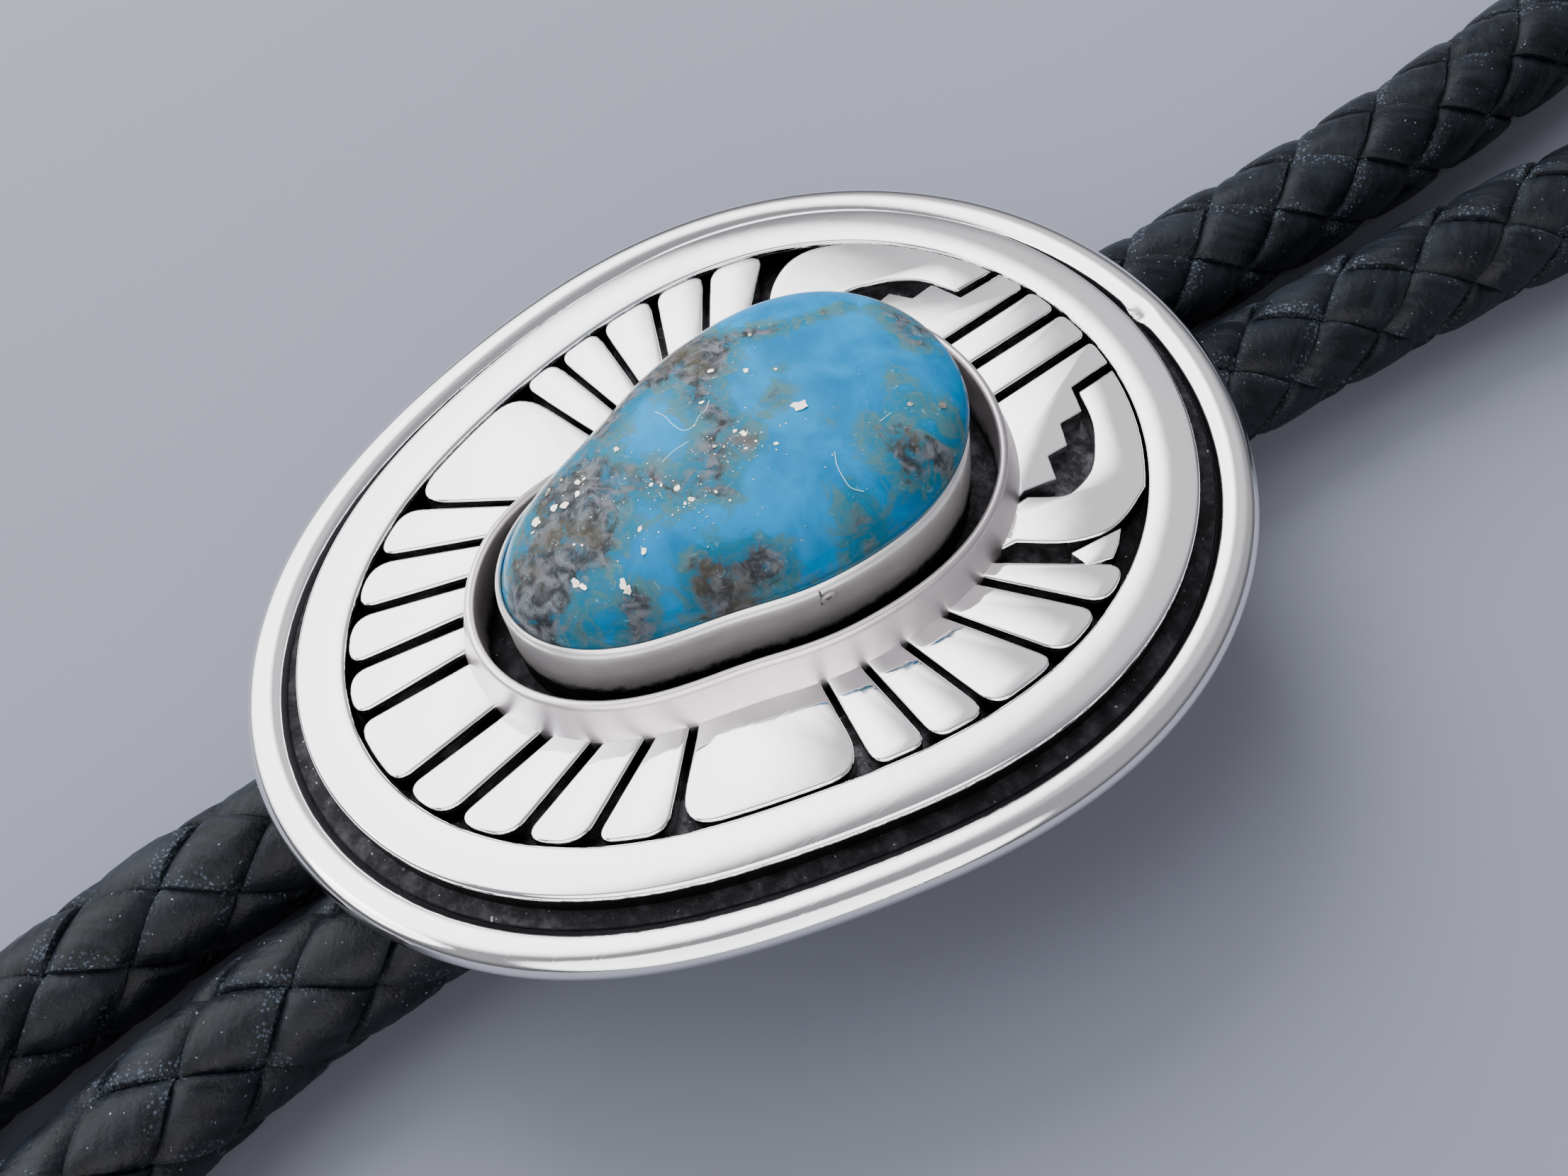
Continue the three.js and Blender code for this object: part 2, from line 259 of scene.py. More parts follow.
# The strands' routes, as in the part.
neckRoute = [
    (-3.6, 0.15, 4.4), (-3.6, 13, 4.4), (-3.6, 22, 3.7), (-3.6, 31, 3.25), (-3.1, 45, 3.25),
    (-3.6, 59, 3.25), (-5.4, 77, 3.25), (-8, 97, 3.25), (-10.8, 121, 3.25), (-13.2, 148, 3.25),
    (-14.8, 176, 3.25), (-15.5, 204, 3.25), (-15.5, 228.5, 3.25), (-11, 239.5, 3.25),
    (0, 244, 3.25), (11, 239.5, 3.25), (15.5, 228.5, 3.25), (15.6, 204, 3.25), (15.2, 176, 3.25),
    (14.2, 148, 3.25), (12.8, 121, 3.25), (11.2, 97, 3.25), (9.7, 77, 3.25), (8, 59, 3.25),
    (5.5, 43, 3.25), (4.1, 31, 3.25), (3.6, 22, 3.7), (3.6, 13, 4.4), (3.6, 0.15, 4.4),
]
tailRoutes = {
    "left": [
        (-3.6, -0.15, 4.4), (-3.6, -13, 4.4), (-4, -21, 3.7), (-4.5, -29, 3.25), (-3.9, -36, 3.35),
        (-3.1, -43, 3.75),
    ],
    "right": [
        (3.6, -0.15, 4.4), (3.6, -13, 4.4), (3.2, -21, 3.7), (3.1, -29, 3.25), (4.2, -36, 3.35),
        (5.7, -43, 3.75),
    ],
}


def smoothLine(points, step=0.5):
    spots = [Vector(p) for p in points]
    spots = [2 * spots[0] - spots[1]] + spots + [2 * spots[-1] - spots[-2]]
    line = []
    for before, start, end, after in zip(spots, spots[1:], spots[2:], spots[3:]):
        pairs = ((before, start), (start, end), (end, after))
        first, middle, last = ((b - a).length ** 0.5 for a, b in pairs)
        ahead = (end - start) / middle
        leave = ((start - before) / first - (end - before) / (first + middle) + ahead) * middle
        arrive = (ahead - (after - start) / (middle + last) + (after - end) / last) * middle
        count = max(2, round((end - start).length / step))
        for i in range(count):
            t = i / count
            line.append(
                start * (2 * t**3 - 3 * t**2 + 1) + leave * (t**3 - 2 * t**2 + t)
                + end * (3 * t**2 - 2 * t**3) + arrive * (t**3 - t**2)
            )
    return np.array([tuple(p) for p in line + [spots[-2]]])


def braidedCord(name, route, turn):
    line = smoothLine(route)
    along = np.concatenate([[0], np.cumsum(np.linalg.norm(np.diff(line, axis=0), axis=1))])
    length = along[-1]
    ahead = np.gradient(line, along, axis=0)
    ahead /= np.linalg.norm(ahead, axis=1, keepdims=True)
    side = np.cross(ahead, [0, 0, 1])
    side /= np.linalg.norm(side, axis=1, keepdims=True)
    up = np.cross(side, ahead)

    def around(s, angle, radius):
        s = np.clip(s, 0, length)
        spot, sideways, upwards = (
            np.stack([np.interp(s, along, field[:, k]) for k in range(3)], -1)
            for field in (line, side, up)
        )
        reach = np.cos(angle)[..., None] * sideways + np.sin(angle)[..., None] * upwards
        return spot + radius[..., None] * reach

    near = min(braid["fineEnds"], length / 2)
    fine = np.arange(0, near, braid["fineStep"])
    coarse = np.array([near])
    if length > 2 * near + 1:
        coarse = np.arange(near, length - near, braid["coarseStep"])
    stations = np.unique(np.concatenate([fine, coarse, length - fine]))
    eighth = braid["lead"] / 8
    slant = math.atan(2 * math.pi * braid["overTop"] / braid["lead"])
    share, rise = np.array(braid["section"]).T
    across = share * braid["strapWidth"] / 2
    middleTop = (braid["overTop"] + braid["underTop"]) / 2
    swing = (braid["overTop"] - braid["underTop"]) / 2
    waveAlong, waveShift = braid["unevenWave"]
    vertices, faces, strapAlong, strapAcross, tone = [], [], [], [], []
    for way in (1, -1):
        for strap in range(4):
            s = stations[:, None] - way * across[None, :] * math.sin(slant)
            angle = turn + way * 2 * math.pi * stations[:, None] / braid["lead"]
            angle = angle + strap * math.pi / 2
            angle = angle + across[None, :] * math.cos(slant) / braid["overTop"]
            lane = (angle - turn) / (math.pi / 4)
            crossing = (lane + way * s / eighth) / 2
            parity = strap if way > 0 else strap + 1
            wave = np.cos(math.pi * (crossing + parity))
            level = np.tanh(braid["crispness"] * wave) / math.tanh(braid["crispness"])
            own = np.sin(waveAlong * stations / eighth + waveShift * strap + way)[:, None]
            radius = middleTop + swing * level + rise[None, :] + braid["unevenness"] * own
            base = sum(len(v) for v in vertices)
            vertices.append(around(s, angle, radius).reshape(-1, 3))
            count, rows = len(share), len(stations)
            for i in range(rows - 1):
                for j in range(count):
                    a, b = base + i * count + j, base + i * count + (j + 1) % count
                    faces.append((a, b, b + count, a + count))
            faces.append(tuple(base + j for j in reversed(range(count))))
            faces.append(tuple(base + (rows - 1) * count + j for j in range(count)))
            grain, shade = (
                strap * byStrap + (way > 0) * byWay
                for byStrap, byWay in (braid["grainShift"], braid["toneShift"])
            )
            strapAlong.append(np.repeat(stations / math.cos(slant) + grain, count))
            strapAcross.append(np.tile(share, rows))
            tone.append(np.full(rows * count, shade % 1))
    # the core that shows in the small gaps between straps
    base = sum(len(v) for v in vertices)
    sides = braid["coreSides"]
    coreStations = np.linspace(0, length, max(8, round(length / braid["coreStep"])))
    ringAngles = np.linspace(0, 2 * math.pi, sides, endpoint=False)
    ringS, ringA = np.meshgrid(coreStations, ringAngles, indexing="ij")
    vertices.append(around(ringS, ringA, np.full(ringS.shape, braid["core"])).reshape(-1, 3))
    last = base + (len(coreStations) - 1) * sides
    for row in range(base, last, sides):
        for j in range(sides):
            a, b = row + j, row + (j + 1) % sides
            faces.append((a, a + sides, b + sides, b))
    faces.append(tuple(base + j for j in range(sides)))
    faces.append(tuple(last + j for j in reversed(range(sides))))
    strapAlong.append(np.zeros(ringS.size))
    strapAcross.append(np.ones(ringS.size))
    tone.append(np.zeros(ringS.size))

    mesh = bpy.data.meshes.new(name)
    mesh.from_pydata((np.concatenate(vertices) * mm).tolist(), [], faces)
    marks = {"strapAlong": strapAlong, "strapAcross": strapAcross, "tone": tone}
    for label, values in marks.items():
        markPoints(mesh, label, np.concatenate(values))
    cord = bpy.data.objects.new(name, mesh)
    bpy.context.scene.collection.objects.link(cord)
    faceOutwards(cord)
    shadeSmooth(cord, 50)
    return cord, length


leatherTones = {
    "crease": (0.0015, 0.002, 0.003, 1),
    "black": (0.006, 0.0078, 0.0115, 1),
    "worn": (0.011, 0.0135, 0.018, 1),
    "fibre": (0.11, 0.135, 0.165, 1),
    "cutEdge": (0.06, 0.08, 0.11, 1),
    "dust": (0.22, 0.24, 0.27, 1),
}


def leatherFinish():
    leather = Finish("blackLeather", Specular_IOR_Level=0.16)
    across = leather.field("strapAcross")
    strapPlace = leather.node("CombineXYZ", {
        "X": leather.times(leather.field("strapAlong"), 0.35),
        "Y": leather.times(across, 2.6),
        "Z": leather.times(leather.field("tone"), 9.0),
    }).outputs[0]
    place = leather.millimetres()
    streaks = leather.noise(strapPlace, 1.6, 4, 0.6)
    clouds = leather.noise(place, 0.28, 3)
    grain = leather.noise(place, 3.4, 5, 0.62)
    pores = leather.ramp(leather.cells(place, 2.3), 0.02, 0.16)
    edge = leather.ramp(leather.math("ABSOLUTE", across, 0.0), 0.72, 0.97)
    fibre = leather.times(edge, leather.ramp(leather.noise(place, 7.5, 4, 0.7), 0.5, 0.72))
    # one edge of each strap is rough and bubbled in places
    cutEdge = leather.times(leather.ramp(across, 0.45, 0.72), leather.ramp(clouds, 0.44, 0.54))
    cutEdge = leather.times(cutEdge, leather.ramp(leather.cells(place, 4.2), 0.4, 0.22))
    fuzz = leather.times(fibre, leather.ramp(clouds, 0.42, 0.6, 0.1, 0.75))
    dust = leather.ramp(leather.noise(place, 4.6, 1, 0.5), 0.745, 0.79, 0, 0.5)
    tones = leatherTones
    body = leather.mix(leather.ramp(streaks, 0.3, 0.75), tones["crease"], tones["black"])
    body = leather.mix(leather.ramp(clouds, 0.45, 0.8, 0, 0.6), body, tones["worn"])
    body = leather.mix(fuzz, body, tones["fibre"])
    body = leather.mix(leather.times(cutEdge, 0.5), body, tones["cutEdge"])
    leather.wire(leather.mix(dust, body, tones["dust"]), "Base Color")
    dullness = leather.plus(leather.ramp(clouds, 0.3, 0.75, 0.3, 0.45), leather.times(edge, 0.25))
    leather.wire(dullness, "Roughness")
    relief = leather.bump(leather.noise(place, 11.0, 3, 0.6), 0.35, 0.02)
    relief = leather.bump(grain, 0.75, 0.07, relief)
    relief = leather.bump(streaks, 0.2, 0.06, relief)
    relief = leather.bump(pores, 0.4, 0.03, relief)
    relief = leather.bump(fibre, 0.6, 0.05, relief)
    relief = leather.bump(cutEdge, 0.5, 0.05, relief)
    leather.wire(relief, "Normal")
    return leather.material


blackLeather = leatherFinish()
neckCord, neckLength = braidedCord("neckBraid", neckRoute, braid["firstStrap"]["neck"])
dress(neckCord, blackLeather, "leather", "neck_cord")
print("neck loop braided:", round(neckLength), "mm")


# Turned silver tips
tip = {
    "radius": 3.75,
    "gap": 0.3,
    # radius and distance from the mouth
    "profile": [
        (0, 0), (3.35, 0), (3.62, 0.1), (3.75, 0.4), (3.75, 1.5), (3.6, 1.85), (3.42, 2.0),
        (3.36, 2.2), (3.42, 2.4), (3.6, 2.5), (3.68, 2.75), (3.6, 3.0), (3.42, 3.1), (3.34, 3.35),
        (3.3, 5.0), (3.1, 13), (2.75, 21), (2.3, 28), (1.92, 32.2), (1.9, 32.6), (2.15, 32.8),
        (2.24, 33.1), (2.15, 33.4), (1.9, 33.6), (1.86, 33.8), (2.0, 34.2), (1.98, 34.8),
        (1.7, 35.4), (1.15, 35.8), (0.5, 35.97), (0, 36),
    ],
    "steps": 56,
}


def turnedTip(name, mouth, heading):
    deselectAll()
    bpy.ops.mesh.primitive_circle_add(vertices=len(tip["profile"]), radius=1)
    made = bpy.context.object
    made.name = name
    for vertex, (radius, reach) in zip(made.data.vertices, tip["profile"]):
        vertex.co = (radius * mm, reach * mm, 0)
    startEdit("DESELECT")
    endEdit()
    closing = {0, len(tip["profile"]) - 1}
    for edge in made.data.edges:
        edge.select = set(edge.vertices) == closing
    bpy.ops.object.mode_set(mode="EDIT")
    bpy.ops.mesh.select_mode(type="EDGE")
    bpy.ops.mesh.delete(type="EDGE")  # the profile is open along the axis
    bpy.ops.mesh.select_mode(type="VERT")
    bpy.ops.mesh.select_all(action="SELECT")
    bpy.ops.mesh.spin(steps=tip["steps"], angle=2 * math.pi, center=(0, 0, 0), axis=(0, 1, 0))
    bpy.ops.mesh.select_all(action="SELECT")
    bpy.ops.mesh.remove_doubles(threshold=0.01 * mm)
    endEditFacingOut()
    turn = math.atan2(heading[1], heading[0]) - math.pi / 2
    made.data.transform(Matrix.Translation(Vector(mouth) * mm) @ Matrix.Rotation(turn, 4, "Z"))
    shadeSmooth(made, 30)
    return made


# The slide's two outlines: eggs whose radius has five waves and a lean
slideEgg = {
    "radius": 16.18,
    "waves": (0.032, 0.15, -0.0345, 0.0065, -0.003),
    "lean": 0.0165,
    "ringSteps": 300,
}
stoneEgg = {
    "radius": 8.75,
    "waves": (0.052, 0.232, -0.062, 0.033, -0.02),
    "lean": 0,
    "ringSteps": 240,
}
slide = {
    "plateBottom": 9.1,
    "plateTop": 10.3,
    "faceTop": 11.6,
    "borderWidth": 2.2,
    "channel": 0.65,
    "rimWidth": 2.05,
    "rimHeight": 1.7,
    "seam": 0.14,
    "slit": 0.4,
    "corner": 0.0525 * slideEgg["radius"],
    "footInset": 1.85,
}


def eggPlace(egg, angle):
    reach = 1 + sum(share * math.cos((k + 1) * angle) for k, share in enumerate(egg["waves"]))
    reach = egg["radius"] * (reach + egg["lean"] * math.sin(2 * angle))
    return Vector((math.sin(angle) * reach, math.cos(angle) * reach))


def eggPoint(egg, angle, outward=0.0):
    along = (eggPlace(egg, angle + 0.001) - eggPlace(egg, angle - 0.001)).normalized()
    return eggPlace(egg, angle) + Vector((-along.y, along.x)) * outward


rimCentre = slide["borderWidth"] + slide["channel"] + slide["rimWidth"] / 2
rimEdge = rimCentre + slide["rimWidth"] / 2


def eggArc(egg, start, end, outward, steps):
    return [eggPoint(egg, start + (end - start) * i / steps, outward) for i in range(steps + 1)]


# The middle of an outline's box, and half the box's width and length
def outlineBox(spots):
    xs, ys = [spot.x for spot in spots], [spot.y for spot in spots]
    middle = Vector(((min(xs) + max(xs)) / 2, (min(ys) + max(ys)) / 2))
    return middle, ((max(xs) - min(xs)) / 2, (max(ys) - min(ys)) / 2)


centre = outlineBox([eggPoint(slideEgg, math.radians(a * 1.25), rimEdge) for a in range(288)])[0]
footArc = eggArc(stoneEgg, 0, 2 * math.pi, slide["footInset"], 180)
faceArc = eggArc(slideEgg, 0, 2 * math.pi, -slide["seam"], 180)
footBox = outlineBox([spot - centre for spot in footArc])
faceBox = outlineBox([spot - centre for spot in faceArc])


# Where the slits' black is worn: away from the collar's foot and the border
def middleOfSlits(finish, place):
    shares = []
    for middle, half in (footBox, faceBox):
        shift = {0: place, 1: (*middle, 0)}
        shift = finish.node("VectorMath", shift, operation="SUBTRACT").outputs[0]
        share = {0: shift, 1: (1 / half[0], 1 / half[1], 0)}
        share = finish.node("VectorMath", share, operation="MULTIPLY").outputs[0]
        shares.append(finish.node("VectorMath", {0: share}, operation="LENGTH").outputs["Value"])
    return finish.times(finish.ramp(shares[0], 1.07, 1.2), finish.ramp(shares[1], 0.97, 0.9))


silverTones = {
    "polished": ((0.95, 0.945, 0.94, 1), (0.9, 0.9, 0.915, 1)),
    "bezel": ((0.92, 0.9, 0.9, 1), (0.7, 0.69, 0.7, 1)),
    "collar": ((0.84, 0.775, 0.78, 1), (0.7, 0.665, 0.69, 1)),
    "soot": (0.014, 0.014, 0.016, 1),
}
oxideTones = {
    "black": (0.006, 0.006, 0.007, 1),
    "grey": (0.035, 0.035, 0.04, 1),
    "worn": (0.3, 0.3, 0.33, 1),
    "dust": (0.4, 0.4, 0.43, 1),
    "back": (0.87, 0.87, 0.88, 1),
}


def silverFinish(name, tones="polished", wallsBelow=None, scuffs=1.0, satin=0.0, metal=1.0):
    silver = Finish(name, Metallic=metal, Specular_IOR_Level=0.5)
    place = silver.millimetres()
    broad = silver.noise(place, 0.22, 3)
    haze = silver.noise(place, 1.3, 4, 0.6)
    scratchOne = silver.noise(silver.millimetres((0, 0, 0.6), (5.5, 0.22, 1)), 1.0, 3, 0.6)
    scratchTwo = silver.noise(silver.millimetres((0, 0, -0.9), (7.0, 0.3, 1)), 1.0, 3, 0.6)
    scratches = silver.plus(silver.ramp(scratchOne, 0.6, 0.7), silver.ramp(scratchTwo, 0.63, 0.72))
    dents = silver.noise(place, 0.55, 2)
    ragged = silver.times(silver.math("SUBTRACT", haze, 0.5), 0.7)
    soot = silver.ramp(silver.plus(silver.field("soot"), ragged), 0.3, 0.75)
    if wallsBelow is not None:
        facing = silver.upward(silver.node("NewGeometry").outputs["Normal"])
        wall = silver.ramp(silver.math("ABSOLUTE", facing, 0.0), 0.75, 0.45)
        deep = silver.ramp(silver.upward(place), wallsBelow, wallsBelow - 0.25)
        worn = silver.times(middleOfSlits(silver, place), silver.ramp(haze, 0.35, 0.65, 0.25, 0.6))
        black = silver.math("SUBTRACT", silver.times(wall, deep), worn)
        soot = silver.math("MAXIMUM", soot, black)
    bright = silver.mix(silver.ramp(broad, 0.3, 0.7), *silverTones[tones])
    silver.wire(silver.mix(soot, bright, silverTones["soot"]), "Base Color")
    dullness = silver.ramp(haze, 0.35, 0.75, 0.035 + satin, 0.085 + satin)
    dullness = silver.plus(dullness, silver.times(scratches, 0.05 * scuffs))
    silver.wire(silver.math("MAXIMUM", dullness, silver.times(soot, 0.42)), "Roughness")
    relief = silver.bump(dents, 0.09, 0.12)
    relief = silver.bump(scratches, 0.06 * scuffs, 0.012, relief)
    relief = silver.bump(silver.times(soot, haze), 0.5, 0.08, relief)
    silver.wire(relief, "Normal")
    return silver.material


def oxideFinish():
    oxide = Finish("blackenedSilver", Metallic=0.85)
    place = oxide.millimetres()
    haze = oxide.noise(place, 1.1, 5, 0.65)
    grit = oxide.noise(place, 5.5, 4, 0.7)
    scuff = oxide.noise(place, 2.2, 5, 0.7, 0.6)
    worn = oxide.times(oxide.ramp(scuff, 0.58, 0.85, 0, 0.5), oxide.ramp(grit, 0.45, 0.75))
    middle = oxide.times(middleOfSlits(oxide, place), oxide.ramp(haze, 0.4, 0.65, 0.06, 0.42))
    worn = oxide.math("MAXIMUM", worn, middle)
    dust = oxide.ramp(oxide.noise(place, 4.2, 2, 0.6), 0.7, 0.76, 0, 0.75)
    dark = oxide.mix(oxide.ramp(haze, 0.4, 0.8), oxideTones["black"], oxideTones["grey"])
    dark = oxide.mix(oxide.times(worn, 0.6), dark, oxideTones["worn"])
    dark = oxide.mix(dust, dark, oxideTones["dust"])
    back = oxide.ramp(oxide.upward(place), 9.35, 9.25)  # the back of the plate stays bright
    oxide.wire(oxide.mix(back, dark, oxideTones["back"]), "Base Color")
    dullness = oxide.ramp(grit, 0.3, 0.75, 0.32, 0.6)
    dullness = oxide.node("Mix", {0: back, 2: dullness, 3: 0.2}, data_type="FLOAT").outputs[0]
    oxide.wire(dullness, "Roughness")
    oxide.wire(oxide.bump(grit, 0.5, 0.05), "Normal")
    return oxide.material


polishedSilver = silverFinish("polishedSilver")
petalSilver = silverFinish("petalSilver", wallsBelow=11.5)
bezelSilver = silverFinish("bezelSilver", "bezel", scuffs=1.8, satin=0.28, metal=0.82)
collarSilver = silverFinish("collarSilver", "collar", scuffs=0.4, satin=0.3)
blackenedSilver = oxideFinish()

for side, route in tailRoutes.items():
    cord, length = braidedCord(side + "TailBraid", route, braid["firstStrap"][side])
    dress(cord, blackLeather, "leather", side + "_tail_cord")
    before, end = Vector(route[-2]), Vector(route[-1])
    heading = Vector((end.x - before.x, end.y - before.y, 0)).normalized()
    mouth = end + heading * tip["gap"]
    mouth.z = tip["radius"]
    cordTip = turnedTip(side + "SilverTip", mouth, heading)
    dress(cordTip, polishedSilver, "silver", side + "_tip")
print("free ends and tips made")


# The far side, where the collar and bezel sit lower: where each of its ends starts and is
# full, in degrees clockwise from +Y, and the rise over which a wall sinks with its top.
farSide = {"ends": ((202, 240), (345, 318)), "rise": 1.6}


def sunkShare(angle, height):
    if height <= slide["faceTop"] + 0.1:
        return 0.0
    degrees = math.degrees(angle) % 360
    share = min(1.0, (height - slide["faceTop"]) / farSide["rise"])
    for start, end in farSide["ends"]:
        t = min(1.0, max(0.0, (degrees - start) / (end - start)))
        share *= t * t * (3 - 2 * t)
    return share


# A ring along an outline: its section is a list of (outwards, height, soot).
def ringPiece(name, egg, section, sink=0.0):
    deselectAll()
    bpy.ops.mesh.primitive_circle_add(vertices=egg["ringSteps"], radius=1)
    ring = bpy.context.object
    ring.name = name
    bpy.ops.object.mode_set(mode="EDIT")
    bpy.ops.mesh.select_mode(type="VERT")
    bpy.ops.mesh.select_all(action="SELECT")
    for _ in section[1:]:
        extrudeEdges(1)
    bpy.ops.mesh.select_all(action="DESELECT")
    bpy.ops.mesh.select_non_manifold()
    bpy.ops.mesh.bridge_edge_loops()
    endEdit()
    soot = []
    for vertex in ring.data.vertices:
        outward, height, black = section[round(vertex.co.z)]
        angle = math.atan2(vertex.co.x, vertex.co.y)
        spot = eggPoint(egg, angle, outward) - centre
        height -= sink * sunkShare(angle, height)
        vertex.co = (spot.x * mm, spot.y * mm, height * mm)
        soot.append(black)
    markPoints(ring.data, "soot", soot)
    faceOutwards(ring)
    return ring


# A flat piece of sheet: its outline filled, extruded and with its edges softened.
def platePiece(name, outline, bottom, top, edge):
    deselectAll()
    bpy.ops.mesh.primitive_circle_add(vertices=len(outline), radius=1, fill_type="NGON")
    plate = bpy.context.object
    plate.name = name
    for vertex, spot in zip(plate.data.vertices, outline):
        vertex.co = ((spot.x - centre.x) * mm, (spot.y - centre.y) * mm, bottom * mm)
    startEdit()
    extrudeFaces((top - bottom) * mm)
    endEditFacingOut()
    roundEdges(plate, edge)
    return plate


plateArc = eggArc(slideEgg, 0, 2 * math.pi, rimCentre, 240)[:-1]
backPlate = platePiece("backPlate", plateArc, slide["plateBottom"], slide["plateTop"], 0.08)
shadeSmooth(backPlate)
dress(backPlate, blackenedSilver, "silver", "silver_slide")

# The rim wire's round section, blackened low on its inner side, and the small nick in it
rim = {
    "sides": 28,
    "middle": slide["plateBottom"] + slide["rimHeight"] / 2,
    "nick": {"angle": 4.2, "outward": 3.27, "height": 10.65, "reach": 0.38, "depth": 0.32},
}


def rimSection():
    section = []
    for i in range(rim["sides"]):
        turn = 2 * math.pi * i / rim["sides"]
        outward, lift = math.cos(turn), math.sin(turn)
        soot = min(1.0, 1.25 * max(0.0, -outward) * max(0.0, 0.75 - lift))
        reach = rimCentre + outward * slide["rimWidth"] / 2
        section.append((reach, rim["middle"] + lift * slide["rimHeight"] / 2, soot))
    return section


def nickRim(wire, nick):
    spot = eggPoint(slideEgg, math.radians(nick["angle"]), nick["outward"]) - centre
    spot = Vector((spot.x, spot.y, nick["height"])) * mm
    soot = wire.data.attributes["soot"].data
    for vertex in wire.data.vertices:
        near = math.exp(-((vertex.co - spot).length / nick["reach"] / mm) ** 2)
        vertex.co.z -= nick["depth"] * mm * near
        soot[vertex.index].value += near


rimWire = ringPiece("rimWire", slideEgg, rimSection())
nickRim(rimWire, rim["nick"])
shadeSmooth(rimWire, 60)
dress(rimWire, polishedSilver, "silver")

seat, face, band = slide["plateTop"] - 0.1, slide["faceTop"], slide["borderWidth"]
borderSection = [
    (0, seat, 1), (band, seat, 1), (band, face - 0.5, 1), (band, face - 0.2, 0.3),
    (band - 0.05, face - 0.07, 0), (band - 0.18, face, 0), (0.16, face, 0),
    (0.045, face - 0.05, 0), (0, face - 0.17, 0.3), (0, face - 0.45, 1),
]
border = ringPiece("flatBorder", slideEgg, borderSection)
shadeSmooth(border, 50)
dress(border, polishedSilver, "silver")
print("plate, rim and border made")

# Where each slit meets the border and the collar, in degrees clockwise from +Y, and how
# round the corners before and after it are.
petalSlits = [
    (46.3, 45.7, 1, 1.1), (55.0, 51.5, 1, 1.1), (65.4, 62.8, 1, 1), (79.3, 75.8, 1, 1),
    (90.4, 88.8, 0.9, 0.9), (101.7, 101.5, 0.9, 2.2), (135.3, 142.0, 2.2, 1),
    (147.0, 150.2, 1, 1.1), (156.6, 159.0, 1.1, 1), (166.0, 167.0, 1, 1),
    (174.4, 175.5, 0.9, 0.8), (186.5, 186.2, 0.8, 0.9), (194.6, 192.8, 1, 1),
    (203.5, 200.5, 1, 1.1), (212.6, 209.5, 1.1, 1.1), (222.9, 220.3, 1, 2.2),
    (253.8, 253.5, 2.2, 0.9), (263.2, 265.8, 0.9, 0.9), (274.1, 276.2, 0.9, 0.9),
    (286.7, 286.5, 0.9, 0.9), (297.9, 298.8, 1, 1), (309.2, 310.2, 1.1, 1),
]
barSlits = [(-7.0, -9.5, 0.4, 0.4), (-0.8, -1.2, 0.5, 0.5), (5.9, 8.2, 0.4, 0.4)]

# The crooked feathers and their stepped blocks. A point is an angle and its share of the
# way from the collar's foot to the border.
crooks = [
    {
        "name": "rightCrook",
        "slit": 11.8,
        "reach": 33.5,
        "feet": (33.5, 45),
        "outer": [(33.5, 1), (38.1, 0.887), (41, 0.763), (42.6, 0.52), (41.9, 0.144)],
        "inner": [
            (31.5, 0.12), (32.6, 0.379), (31.5, 0.492), (28.6, 0.597), (24.7, 0.64), (19.7, 0.676),
            (13.8, 0.673),
        ],
        "steps": [
            (12.5, 0.641), (17.4, 0.627), (18.3, 0.437), (22.9, 0.441), (23.9, 0.281), (29, 0.335),
            (30.2, 0.095),
        ],
        "bar": barSlits[2],
    },
    {
        "name": "leftCrook",
        "slit": -12.9,
        "reach": -38,
        "feet": (-34, -49),
        "outer": [
            (-38, 1), (-41.6, 0.975), (-44.6, 0.919), (-46.9, 0.789), (-47.9, 0.567),
            (-47.1, 0.27),
        ],
        "inner": [
            (-32.2, 0.134), (-32.8, 0.344), (-31.6, 0.435), (-29.2, 0.505), (-26.6, 0.576),
            (-23.1, 0.637), (-20.1, 0.66), (-15.3, 0.663),
        ],
        "steps": [
            (-14, 0.618), (-19.6, 0.633), (-20.8, 0.436), (-25, 0.428), (-26.1, 0.266),
            (-30.7, 0.319), (-30.9, 0.11),
        ],
        "bar": barSlits[0],
    },
]
# The small piece between the right crook and the first petal
tornCorner = [(44.9, 0.571), (40.4, 0.867), (43.4, 0.885), (46, 0.885), (47.4, 0.735)]
edgeRounding = {"petal": 0.13, "tornCorner": 0.08, "bar": 0.11, "crook": 0.12, "steps": 0.07}
halfAtBorder = slide["slit"] / 2 / slideEgg["radius"]
halfAtFoot = slide["slit"] / 2 / (stoneEgg["radius"] + 2.15)


def petalSide(slit, way):
    borderAngle, footAngle, roundBefore, roundAfter = slit
    corner = slide["corner"] * (roundAfter if way > 0 else roundBefore)
    turn = math.radians(borderAngle) + way * halfAtBorder
    footTurn = math.radians(footAngle) + way * halfAtFoot
    foot = eggPoint(stoneEgg, footTurn, slide["footInset"])
    point = eggPoint(slideEgg, turn, -slide["seam"])
    start = point + (foot - point).normalized() * corner
    endTurn = turn + way * corner / slideEgg["radius"]
    end = eggPoint(slideEgg, endTurn, -slide["seam"])
    curve = []
    for i in range(9):
        t = i / 8
        curve.append(start * (1 - t) ** 2 + point * 2 * t * (1 - t) + end * t**2)
    return [foot] + curve, endTurn, footTurn


def petalOutline(first, second):
    left, leftEnd, leftFoot = petalSide(first, 1)
    right, rightEnd, rightFoot = petalSide(second, -1)
    steps = max(3, round((rightEnd - leftEnd) / 0.05))
    outside = eggArc(slideEgg, leftEnd, rightEnd, -slide["seam"], steps)[1:-1]
    inside = eggArc(stoneEgg, rightFoot, leftFoot, slide["footInset"], steps)[1:-1]
    return left + outside + right[::-1] + inside


